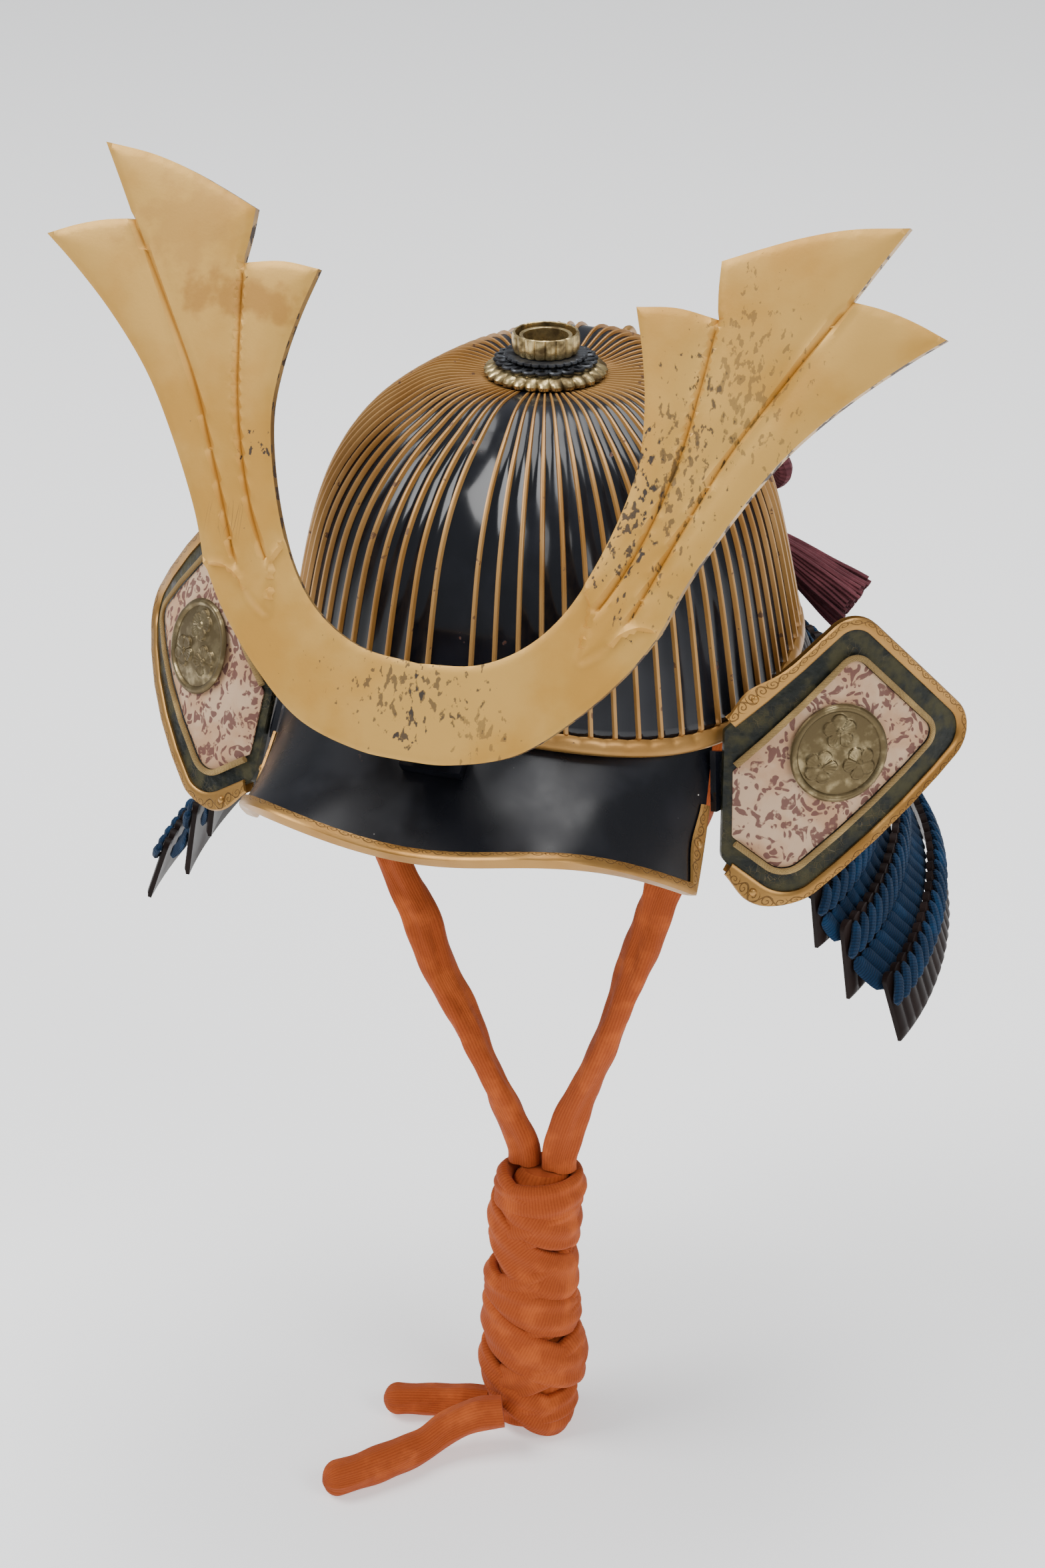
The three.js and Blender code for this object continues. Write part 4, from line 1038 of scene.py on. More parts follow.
@dataclass
class Bowl:
    """The bowl of standing-ribbed plates and its gilt moulding."""

    form: Form
    ribs: int = 68
    wide_plate: float = 10
    rib_height: float = 1.9
    rib_half: float = 1.05
    wall: float = 2.2
    hollow: float = 0.55
    top_climb: float = math.radians(71)
    hole: float = 12.5
    rows: int = 46

    def rib_azimuths(self) -> Array:
        """Returns the ribs' azimuths: a wide plate in front and one behind.

        Returns:
            The azimuths in radians.
        """
        half = self.ribs // 2
        pitch = (180 - self.wide_plate) / (half - 1)
        side = self.wide_plate / 2 + pitch * np.arange(half)
        return np.radians(np.concatenate([side, side + 180]))

    def outer_rows(self) -> tuple[Array, Array]:
        """Returns the outer face's rows and the slot of each column.

        Returns:
            The rows of points, and the slots.
        """
        ribs = self.rib_azimuths()
        gaps = np.diff(np.append(ribs, ribs[0] + FULL_TURN))
        climbs = self.top_climb * np.linspace(0, 1, self.rows) ** 2.1
        offsets = np.array([-1, -0.62, 0, 0.62, 1])
        lifts = np.array([0, 0.86, 1, 0.86, 0])
        between = np.array([0.25, 0.5, 0.75])
        rows = []
        for climb in climbs:
            radius = np.linalg.norm(self.form.face(ribs, np.full(len(ribs), climb))[:, :2], axis=1)
            size = smoothstep(radius, self.form.crown_flat, 75)
            half = lerp(0.5, self.rib_half, size) / radius
            on_rib = ribs[:, None] + offsets * half[:, None]
            plate = (ribs + half)[:, None] + between * (gaps - half - np.roll(half, -1))[:, None]
            phi = np.concatenate([on_rib, plate], axis=1)
            lift = lerp(0.45, 1, size)[:, None] * self.rib_height * lifts
            sink = -self.hollow * size[:, None] * 4 * between * (1 - between)
            up = np.concatenate([lift, sink], axis=1)
            phi, up = phi.ravel(), up.ravel()
            here = self.form.face(phi, np.full(len(phi), max(climb, 1e-4)))
            above = self.form.face(phi, np.full(len(phi), climb + 0.01))
            beside = self.form.face(phi + 0.01, np.full(len(phi), max(climb, 1e-4)))
            normal = unit(np.cross(beside - here, above - here))
            rows.append(here + normal * up[:, None])
        slots = np.tile([1, 1, 1, 1, 0, 0, 0, 0], self.ribs)
        return np.array(rows), slots

    def build(self) -> None:
        """Makes the shell and the moulding."""
        draft = Draft()
        outer, slots = self.outer_rows()
        phi = np.arctan2(outer[-1, :, 0], -outer[-1, :, 1])
        crown = [polar(phi, r, self.form.crown_height) for r in (24.0, 18.0, self.hole)]
        climbs = self.top_climb * np.linspace(1, 0, 20) ** 2.1
        inner = [polar(phi, r, self.form.crown_height - self.wall) for r in (self.hole, 20.0)]
        for climb in climbs:
            face = self.form.face(phi, np.full(len(phi), climb))
            radius = np.linalg.norm(face[:, :2], axis=1) - self.wall * math.cos(climb)
            drop = self.wall * math.sin(climb) if climb > 0 else 0
            inner.append(polar(phi, radius, face[:, 2] - drop))
        rings = np.array([*outer, *crown, *inner])
        draft.loop(rings, slot=slots)
        inside_from = (len(outer) + len(crown)) * outer.shape[1]
        draft.slots = [2 if min(f) >= inside_from else slot for f, slot in zip(draft.faces, draft.slots)]
        draft.build("bowl_shell", "black_lacquer", "bowl", BLACK, RIB_GOLD, INSIDE, sharp=50)
        self.build_moulding()

    def build_moulding(self) -> None:
        """Makes the rounded moulding with a scallop at each rib's foot."""
        ribs = self.rib_azimuths()
        between = np.linspace(0, 1, 9)[:-1]
        gaps = np.diff(np.append(ribs, ribs[0] + FULL_TURN))
        phi = (ribs[:, None] + gaps[:, None] * between).ravel()
        lobe = np.tile(np.abs(np.cos(math.pi * between)) ** 0.7, len(ribs))
        profile = [(-1.6, 2.0, 0), (0.3, 2.6, 0.5), (1.5, 1.7, 0.9), (2.4, 0.1, 0.9), (2.9, -1.7, 0),
                   (3.0, -3.0, 0), (2.5, -4.1, 0), (1.4, -4.7, 0), (-1.6, -4.7, 0)]
        rings = [self.form.on_rim(phi, out, -up - rise * (lobe - 0.3)) for out, up, rise in profile]
        draft = Draft()
        along = np.append(phi, phi[0] + FULL_TURN) * self.form.half_width
        draft.loop(np.array(rings), cols_at=along)
        draft.build("moulding", "gilt", "bowl_moulding", PLAIN_GILT)


@dataclass
class Visor:
    """The black visor and the engraved trim on its lower edge."""

    form: Form
    half_angle: float = math.radians(60)
    half_width: float = 100
    reach: float = 157
    drop: float = 38
    end_reach: float = 89
    end_drop: float = 69
    hollow: float = 3
    wall: float = 2.2
    under: float = 5.0

    def face(self, u: Array, v: Array) -> Array:
        """Returns points: u from the left end to the right one, v from the lower edge to the bowl.

        Args:
            u: -1 at the left end to 1 at the right one.
            v: 0 at the lower edge to 1 at the bowl.

        Returns:
            The points.
        """
        u, v = np.broadcast_arrays(np.asarray(u, float), np.asarray(v, float))
        top = self.form.on_rim(u * self.half_angle, -0.2, self.under + 0.2)
        end = float(self.form.on_rim(np.array(self.half_angle), 0, 0)[0])
        x = top[..., 0] * self.half_width / end
        s = x / self.half_width
        reach = self.reach - (self.reach - self.end_reach) * (1.29 * s**4 - 0.29 * s**2)
        drop = self.drop + (self.end_drop - self.drop) * (2.49 * s**4 - 1.49 * s**2)
        low = np.stack([x, -reach, -drop], -1)
        sag = self.hollow * 4 * v * (1 - v)
        return lerp(low, top, v[..., None]) + np.stack([0 * sag, 0.6 * sag, -0.6 * sag], -1)

    def build(self) -> None:
        """Makes the plate and its trim."""
        u, v = np.meshgrid(np.linspace(-1, 1, 121), np.linspace(0, 1, 15))
        front = self.face(u, v)
        normal = grid_normals(front)
        normal *= np.sign(normal[7, 60, 2])
        draft = Draft()
        draft.sheet(front, front - normal * self.wall, v[:, 0] * 60, u[0] * 150)
        draft.build("visor_plate", "black_lacquer", "visor", VISOR_BLACK)
        side = np.linspace(0.6, 0.0, 14)[:-1]
        low = np.linspace(-1, 1, 150)
        path = [(-1, v) for v in side] + [(u, 0) for u in low] + [(1, v) for v in side[::-1]]
        points = np.array([self.face(*at) for at in path])
        step = 1e-3
        normals = []
        for u, v in path:
            du = self.face(u + step, v) - self.face(u - step, v)
            dv = self.face(u, v + step) - self.face(u, v - step)
            normals.append(np.cross(du, dv))
        trim = Trim("visor_edge", "visor_trim", points, unit(np.array(normals)), self.wall, leaf_at=0.05)
        trim.build()


@dataclass
class Trim:
    """An engraved gilt channel that grips an edge, with a leaf and a rivet near each end."""

    name: str
    node: str
    points: Array
    normals: Array
    wall: float
    leaf_at: float
    side: float = 1
    gap: float = 0.5
    metal: float = 1.1
    lip: float = 3.4
    leaf: float = 4.2
    leaf_spread: float = 0.035

    def build(self) -> None:
        """Sweeps the channel's section along the edge."""
        along = np.gradient(self.points, axis=0)
        out = unit(np.cross(along, self.normals)) * self.side
        length = run_along(self.points)
        share = length / length[-1]
        near = np.minimum(share, 1 - share)
        lip = self.lip + self.leaf * np.exp(-(((near - self.leaf_at) / self.leaf_spread) ** 2))
        g, t = self.gap, self.metal
        low = -self.wall - g
        rows = []
        for k in range(len(self.points)):
            profile = [(-lip[k], g), (-lip[k] + 0.5, g + t), (-0.5 * lip[k], g + t + 0.15), (-0.4, g + t),
                       (0.6, g + t), (g + t - 0.15, g + 0.5), (g + t, low / 2), (g + t - 0.15, low - 0.5),
                       (0.6, low - t), (-0.4, low - t), (-self.lip, low), (g, low), (g, g)]
            rows.append([self.points[k] + out[k] * o + self.normals[k] * n for o, n in profile])
        draft = Draft()
        across = np.array([-6.0, -4.8, -2.4, 0.0, 1.4, 2.4, 4.0, 6.0, 7.0, 8.0, 10.0, 12.0, 14.0, 16.0])
        start = draft.grid(np.array(rows), True, length, across)
        count = len(rows[0])
        draft.caps(start, len(rows), count)
        draft.close()
        for end in (self.leaf_at, 1 - self.leaf_at):
            k = int(np.argmin(np.abs(share - end)))
            middle = self.points[k] - out[k] * 3.2 + self.normals[k] * (g + t)
            axis = self.normals[k]
            first, second = out[k], unit(np.cross(axis, out[k]))
            ring = turns(16)
            disc = first * np.cos(ring)[:, None] + second * np.sin(ring)[:, None]
            rivet = ((1.7, -0.2), (1.7, 0.3), (1.3, 0.8), (0.7, 1.05))
            dome = [middle + disc * r + axis * h for r, h in rivet]
            start = draft.grid(np.array(dome), True)
            draft.caps(start, len(dome), len(ring))
            draft.close()
        draft.build(self.name, "gilt", self.node, GILT, sharp=45)


# Flat work: boards and plates drawn as outlines


def near_line(at: Array, line: Array) -> Array:
    """Returns how far places lie from a line of points.

    Args:
        at: the places.
        line: the line's points.

    Returns:
        The distances.
    """
    best = np.full(len(at), 1e9)
    for a, b in zip(line[:-1], line[1:]):
        way = b - a
        t = np.clip(((at - a) @ way) / max(float(way @ way), 1e-9), 0, 1)
        best = np.minimum(best, np.linalg.norm(at - a - t[:, None] * way, axis=1))
    return best


def inside_of(at: Array, outline: Array) -> Array:
    """Returns whether places lie inside a closed outline.

    Args:
        at: the places.
        outline: the outline, without its first point repeated.

    Returns:
        True or false for each place.
    """
    held = np.zeros(len(at), bool)
    ends = np.roll(outline, -1, axis=0)
    for (ax, ay), (bx, by) in zip(outline, ends):
        crosses = (ay > at[:, 1]) != (by > at[:, 1])
        with np.errstate(divide="ignore", invalid="ignore"):
            x = ax + (at[:, 1] - ay) / (by - ay) * (bx - ax)
        held ^= crosses & (at[:, 0] < x)
    return held


@dataclass
class Slab:
    """A plate between a front and a back face, both given over its flat outline."""

    outline: Array
    spacing: float
    front: Callable[[Array], Array]
    back: Callable[[Array], Array]
    lines: Sequence[Array] = ()
    slots: tuple[int, int, int] = (0, 0, 0)

    def add_to(self, draft: Draft) -> None:
        """Triangulates both faces and joins them round the outline.

        Args:
            draft: the draft that takes it.
        """
        closed = back_to_start(self.outline)
        low, high = self.outline.min(0), self.outline.max(0)
        xs = np.arange(low[0], high[0], self.spacing)
        ys = np.arange(low[1], high[1], self.spacing * 0.866)
        grid = np.array([(x + (k % 2) * self.spacing / 2, y) for k, y in enumerate(ys) for x in xs])
        free = grid[inside_of(grid, self.outline)]
        free = free[near_line(free, closed) > 0.55 * self.spacing]
        for line in self.lines:
            free = free[near_line(free, line) > 0.4 * self.spacing]
        extra = np.vstack([free, *self.lines]) if len(self.lines) else free
        count = len(self.outline)
        points = np.vstack([self.outline, extra])
        edges = [(k, (k + 1) % count) for k in range(count)]
        flat = [Vector((float(x), float(y))) for x, y in points]
        got = delaunay_2d_cdt(flat, edges, [list(range(count))], 1, 1e-5)
        at = np.array([tuple(p) for p in got[0]])
        faces = [tuple(f) for f in got[2]]
        front = draft.add_points(self.front(at))
        back = draft.add_points(self.back(at))
        for f in faces:
            draft.polygon([front + i for i in f], self.slots[0])
            draft.corners[-1] = [tuple(at[i]) for i in f]
            draft.polygon([back + i for i in reversed(f)], self.slots[2])
            draft.corners[-1] = [tuple(at[i]) for i in reversed(f)]
        sides: dict[tuple[int, int], int] = {}
        for f in faces:
            for a, b in zip(f, f[1:] + f[:1]):
                sides[(a, b)] = sides.get((a, b), 0) + 1
        for a, b in sides:
            if (b, a) not in sides:
                draft.polygon([front + b, front + a, back + a, back + b], self.slots[1])
                draft.corners[-1] = [tuple(at[b]), tuple(at[a]), tuple(at[a]), tuple(at[b])]
        draft.close()


@dataclass
class Crest:
    """The horned board: three feathers a side, which rise from a carved foot."""

    half_span: float = 189
    height: float = 227.5
    thickness: float = 4.2
    relief: float = 1
    lean: float = math.radians(24.9)
    forward: float = 155.8
    up: float = 2.6
    inner: tuple = ((0, 0.169), (0.132, 0.182), (0.228, 0.224), (0.302, 0.292), (0.37, 0.415), (0.41, 0.552),
                    (0.407, 0.64), (0.386, 0.732), (0.354, 0.82))
    inner_tip: tuple = ((0.354, 0.82), (0.44, 0.826), (0.529, 0.815))
    middle_tip: tuple = ((0.529, 0.815), (0.521, 0.864), (0.518, 0.912))
    middle_top: tuple = ((0.518, 0.912), (0.592, 0.938), (0.677, 0.965), (0.772, 0.987), (0.892, 1))
    middle_side: tuple = ((0.892, 1), (0.847, 0.938), (0.799, 0.87))
    outer_tip: tuple = ((0.799, 0.87), (0.868, 0.862), (0.931, 0.848), (1, 0.826))
    outer: tuple = ((1, 0.826), (0.931, 0.782), (0.82, 0.701), (0.714, 0.604), (0.63, 0.495), (0.55, 0.367),
                    (0.513, 0.284))
    lower: tuple = ((0.513, 0.284), (0.458, 0.211), (0.362, 0.119), (0.243, 0.04), (0.095, 0.004), (0, 0))
    carving: tuple = ((0.333, 0.345), (0.36, 0.31), (0.354, 0.257), (0.352, 0.213), (0.397, 0.235),
                      (0.429, 0.27), (0.471, 0.288), (0.513, 0.284))
    inner_groove: tuple = ((0.529, 0.815), (0.515, 0.7), (0.49, 0.56), (0.44, 0.42), (0.39, 0.33),
                           (0.36, 0.29))
    outer_groove: tuple = ((0.799, 0.87), (0.7, 0.74), (0.6, 0.6), (0.53, 0.47), (0.475, 0.36),
                           (0.44, 0.285))

    def on_board(self, rows: Sequence, mirror: float = 1) -> Array:
        """Returns places on the board in millimetres."""
        return np.array(rows, float) * (mirror * self.half_span, self.height)

    def outline(self) -> Array:
        """Returns the board's closed outline.

        Returns:
            The outline, without its first point repeated.
        """
        half = []
        for rows, count in ((self.inner, 60), (self.inner_tip, 12), (self.middle_tip, 8),
                            (self.middle_top, 26), (self.middle_side, 12), (self.outer_tip, 14),
                            (self.outer, 54), (self.lower, 44)):
            half.append(smooth_line(self.on_board(rows), count)[:-1])
        right = np.vstack([*half, [[0, 0]]])
        left = right[1:-1][::-1] * (-1, 1)
        return np.vstack([right, left])

    def surface(self, at: Array) -> Array:
        """Returns how high the front stands at places on the board.

        Args:
            at: the places.

        Returns:
            The heights over the board's plane.
        """
        side = np.stack([np.abs(at[:, 0]), at[:, 1]], -1)
        drawn = (self.inner_groove, self.outer_groove, self.carving)
        inner, outer, carving = (smooth_line(self.on_board(rows), 60) for rows in drawn)
        to_inner, to_outer, to_carving = (near_line(side, line) for line in (inner, outer, carving))
        to_edge = near_line(at, back_to_start(self.outline()))
        reach = 1.2 * self.half_span
        ground = np.vstack([[0, -9], [reach, -9], [reach, carving[-1, 1]], carving[::-1], [0, carving[0, 1]]])
        in_foot = inside_of(side, ground)
        raised = np.where(in_foot, -self.relief, 0.0) + np.exp(-((to_carving / 0.9) ** 2)) * 0.9
        feather = np.minimum(np.minimum(to_inner, to_outer), to_edge)
        swell = 1.1 * (1 - np.exp(-feather / 6))
        grooves = np.exp(-((to_inner / 0.75) ** 2)) + np.exp(-((to_outer / 0.75) ** 2))
        banks = np.exp(-(((to_inner - 2.0) / 0.8) ** 2)) + np.exp(-(((to_outer - 2.0) / 0.8) ** 2))
        high = np.where(in_foot, 0.0, swell - 1.5 * grooves + 0.45 * banks)
        return raised + high * smoothstep(to_carving, 0.2, 2.5) - 0.5 * np.exp(-((to_edge / 0.8) ** 2))

    def place(self, at: Array, off: Array) -> Array:
        """Returns points over places on the board.

        Args:
            at: places on the board.
            off: how far in front of it.

        Returns:
            The points.
        """
        sine, cosine = math.sin(self.lean), math.cos(self.lean)
        y = -self.forward + at[:, 1] * sine - off * cosine
        z = self.up + at[:, 1] * cosine + off * sine
        return np.stack([at[:, 0], y, z], -1)

    def build(self) -> None:
        """Makes the board."""
        grooves = [smooth_line(self.on_board(rows, m), 70) for rows in (self.inner_groove, self.outer_groove)
                   for m in (1, -1)]
        carvings = [smooth_line(self.on_board(self.carving, m), 70) for m in (1, -1)]
        lines = [line[3:-3] for line in grooves + carvings]
        draft = Draft()
        Slab(self.outline(), 1.9, lambda at: self.place(at, self.surface(at)),
             lambda at: self.place(at, np.full(len(at), -self.thickness)), lines, (0, 1, 1)).add_to(draft)
        draft.build("crest_board", "crest_gold", "crest_horns", CREST_LEAF, CREST_EDGE, sharp=28)


@dataclass(frozen=True)
class Pose:
    """Where one turnback stands."""

    side: str
    mirror: float
    further: float
    higher: float
    azimuth: float
    tilt: float


@dataclass
class Turnback:
    """A leather-faced plate with its trim, braid, printed panel and medallion."""

    form: Form
    pose: Pose
    beyond: float = 37
    forward: float = 40.5
    down: float = 17
    length: float = 123
    breadth: float = 119
    wall: float = 2.5
    bulge: float = 0.004
    bends: float = 15
    medallion_radius: float = 21
    plate: tuple = ((-0.37, 0.08, 0.02), (0.065, 0.46, 0.09), (0.525, -0.02, 0.1), (-0.18, -0.565, 0.14),
                    (-0.385, -0.39, 0.05))
    panel: tuple = ((-0.36, -0.06, 0.03), (0.06, 0.34, 0.06), (0.385, 0, 0.06), (-0.19, -0.46, 0.09),
                    (-0.365, -0.31, 0.03))

    def rounded(self, corners: Sequence, shrink: float, steps: int = 12) -> Array:
        """Returns an outline with rounded corners, dense enough to bend.

        Args:
            corners: out and up in shares of length and breadth, radius in shares of length.
            shrink: how far the outline is drawn in, as a negative number.
            steps: points in each corner's arc.

        Returns:
            The closed outline, without its first point repeated.
        """
        points = np.array([(c[0] * self.length, c[1] * self.breadth) for c in corners])
        found: list[Array] = []
        for k, p in enumerate(points):
            before, after = unit(points[k - 1] - p), unit(points[(k + 1) % len(points)] - p)
            angle = math.acos(float(before @ after))
            middle = unit(before + after)
            centre = p + middle * corners[k][2] * self.length / math.sin(angle / 2)
            r = corners[k][2] * self.length + shrink
            start = math.atan2(-middle[1], -middle[0])
            for i in range(steps + 1):
                a = start + (math.pi - angle) * (0.5 - i / steps)
                found.append(centre + r * np.array([math.cos(a), math.sin(a)]))
        dense: list[Array] = []
        for a, b in zip(found, found[1:] + found[:1]):
            count = max(1, int(np.linalg.norm(b - a) / 3))
            dense += [lerp(a, b, t) for t in np.arange(count) / count]
        return np.array(dense)

    def axes(self) -> tuple[Array, Array, Array, Array]:
        """Returns the plate's centre and its ways out, up and off.

        Returns:
            The centre and the three ways.
        """
        az, tilt, m = math.radians(self.pose.azimuth), math.radians(self.pose.tilt), self.pose.mirror
        normal = np.array([m * math.sin(az) * math.cos(tilt), -math.cos(az) * math.cos(tilt), math.sin(tilt)])
        across = np.array([m * math.cos(az), math.sin(az), 0])
        above = np.cross(normal, across) * m
        aside = self.form.half_width + self.beyond + self.pose.further
        centre = np.array([m * aside, -self.forward, self.pose.higher - self.down])
        return centre, across, above, normal

    def sag(self, out: Array) -> Array:
        """Returns how far the plate bends back."""
        k = np.floor(out / self.bends)
        return self.bulge * self.bends**2 * lerp(k * k, (k + 1) ** 2, out / self.bends - k)

    def place(self, at: Array, off: Array | float, flat: bool = False) -> Array:
        """Returns points off the plate at places on it.

        Args:
            at: places on the plate.
            off: how far off it.
            flat: whether its bend is left out.

        Returns:
            The points.
        """
        centre, across, above, normal = self.axes()
        off = np.broadcast_to(off, (len(at),)) - (0 if flat else self.sag(at[:, 0]))
        return centre + at[:, :1] * across + at[:, 1:2] * above + off[:, None] * normal

    def open_line(self, outline: Array, first: float, last: float) -> Array:
        """Returns the part of an outline from one share of its length to another.

        Args:
            outline: the outline.
            first: the share where it starts.
            last: the share where it ends.

        Returns:
            The line.
        """
        closed = back_to_start(outline)
        along = run_along(closed)
        at = np.linspace(first * along[-1], last * along[-1], 220)
        return np.stack([np.interp(at, along, closed[:, k]) for k in range(2)], -1)

    def build(self) -> None:
        """Makes the plate and everything on it."""
        side = self.pose.side
        edge = self.rounded(self.plate, 0)
        draft = Draft()
        Slab(edge, 4.0, lambda at: self.place(at, 0.0), lambda at: self.place(at, -self.wall)).add_to(draft)
        draft.build(f"plate_{side}", "dark_leather", f"turnback_plate_{side}", MOTTLED)
        panel = self.rounded(self.panel, -1.6)
        draft = Draft()
        rim = back_to_start(panel)
        Slab(panel, 3.0, lambda at: self.place(at, 1.3 - 0.5 * np.exp(-(near_line(at, rim) / 1.5))),
             lambda at: self.place(at, SEAT_GAP)).add_to(draft)
        draft.build(f"panel_{side}", "printed_leather", f"turnback_leather_{side}", PRINTED)
        self.build_braid()
        self.build_trim(edge)
        self.build_medallion()
        carry(f"turnback_root_{side}", BLACK)

    def corner_share(self, outline: Array, corner: Sequence, shift: float) -> float:
        """Returns a corner's share of an outline's length, moved by a distance.

        Args:
            outline: the outline.
            corner: the corner's row.
            shift: the distance.

        Returns:
            The share.
        """
        closed = back_to_start(outline)
        along = run_along(closed)
        target = np.array([corner[0] * self.length, corner[1] * self.breadth])
        k = int(np.argmin(np.linalg.norm(closed - target, axis=1)))
        return float((along[k] + shift) / along[-1])

    def build_braid(self) -> None:
        """Makes the braid round the panel, open next to the bowl."""
        outline = self.rounded(self.panel, 0)
        line = self.open_line(outline, self.corner_share(outline, self.panel[0], 3),
                              self.corner_share(outline, self.panel[4], -3))
        along = unit(np.gradient(line, axis=0))
        way = np.stack([-along[:, 1], along[:, 0]], -1)
        length = run_along(line)
        turn = np.linspace(0, FULL_TURN, 13)
        rows = []
        for a in turn[:-1]:
            rows.append(self.place(line + way * 1.35 * math.cos(a), 1.9 + 1.2 * math.sin(a)))
        draft = Draft()
        start = draft.grid(np.stack(rows, 1), True, length, np.abs(turn - math.pi) * 1.3)
        draft.caps(start, len(line), len(rows))
        draft.warp(lambda u, v: (u + v, v))
        draft.close()
        side = self.pose.side
        draft.build(f"braid_{side}", "gold_braid", f"turnback_braid_{side}", GOLD_BRAID)

    def build_trim(self, edge: Array) -> None:
        """Makes the gilt channel round the plate's free sides.

        Args:
            edge: the plate's outline.
        """
        line = self.open_line(edge, self.corner_share(edge, self.plate[0], 4),
                              self.corner_share(edge, self.plate[4], -4))
        points = self.place(line, 0.0)
        normals = unit(self.place(line, 1.0) - points)
        side = self.pose.side
        trim = Trim(f"trim_{side}", f"turnback_trim_{side}", points, normals, self.wall, leaf_at=0.05,
                    side=self.pose.mirror, leaf_spread=0.04)
        trim.build()

    def build_medallion(self) -> None:
        """Makes the medallion: a rim, a fish-roe ground and three veined blossoms."""
        radius, seat = self.medallion_radius, 1.6
        rings = np.concatenate([np.linspace(0, 0.84, 60), [0.87, 0.9, 0.94, 0.97, 0.99, 1.0]])
        turn = turns(180)
        share, angle = np.meshgrid(rings, turn, indexing="ij")
        x, y = radius * share * np.cos(angle), radius * share * np.sin(angle)
        dome = 0.35 + 1.4 * (1 - (share / 0.86) ** 2).clip(0)
        rim = smoothstep(share, 0.84, 0.88) * (1 - smoothstep(share, 0.955, 1.0)) * 1.5
        height = np.maximum(dome + self.blossoms(x, y) * (share < 0.84), rim)
        at = np.stack([x.ravel(), y.ravel() - 2.0], -1)
        points = self.place(at, seat + height.ravel(), True).reshape(*x.shape, 3)
        draft = Draft()
        draft.grid(points[1:], True, rings[1:] * radius, np.linspace(0, 120, 181))
        foot = self.place(at.reshape(*x.shape, 2)[-1], seat, True)
        low = draft.add_points(foot)
        centre = draft.add_points(points[:1, 0])
        count, last = len(turn), (len(rings) - 2) * len(turn)
        for k in range(count):
            n = (k + 1) % count
            draft.polygon((centre, n, k))
            draft.polygon((last + k, last + n, low + n, low + k))
        draft.polygon([low + k for k in range(count)])
        draft.close()
        side = self.pose.side
        draft.build(f"medallion_{side}", "brass", f"turnback_medallion_{side}", MEDAL, sharp=60)

    def blossoms(self, x: Array, y: Array) -> Array:
        """Returns the height of the ornament over the medallion's dome.

        Args:
            x: places across.
            y: places up.

        Returns:
            The heights.
        """
        best = np.zeros_like(x)
        for k in range(3):
            a = math.pi / 2 + k * FULL_TURN / 3
            dx, dy = x - 9.6 * math.cos(a), y - 9.6 * math.sin(a)
            far, turn = np.hypot(dx, dy), np.arctan2(dy, dx) - a
            petal = np.abs(np.cos(2.5 * turn))
            edge = 7.4 * (0.72 + 0.28 * petal**0.7)
            inside = 1 - smoothstep(far, edge - 0.5, edge)
            veins = 0.14 * np.abs(np.cos(12.5 * turn)) * smoothstep(far, 1.8, 3.4)
            cut = 0.3 * (1 - smoothstep(petal, 0.0, 0.25))
            bud = 0.5 * (1 - smoothstep(far, 1.2, 1.7))
            best = np.maximum(best, inside * (0.62 + 0.3 * smoothstep(far, 5.0, 7.0) + veins - cut + bud))
        return best


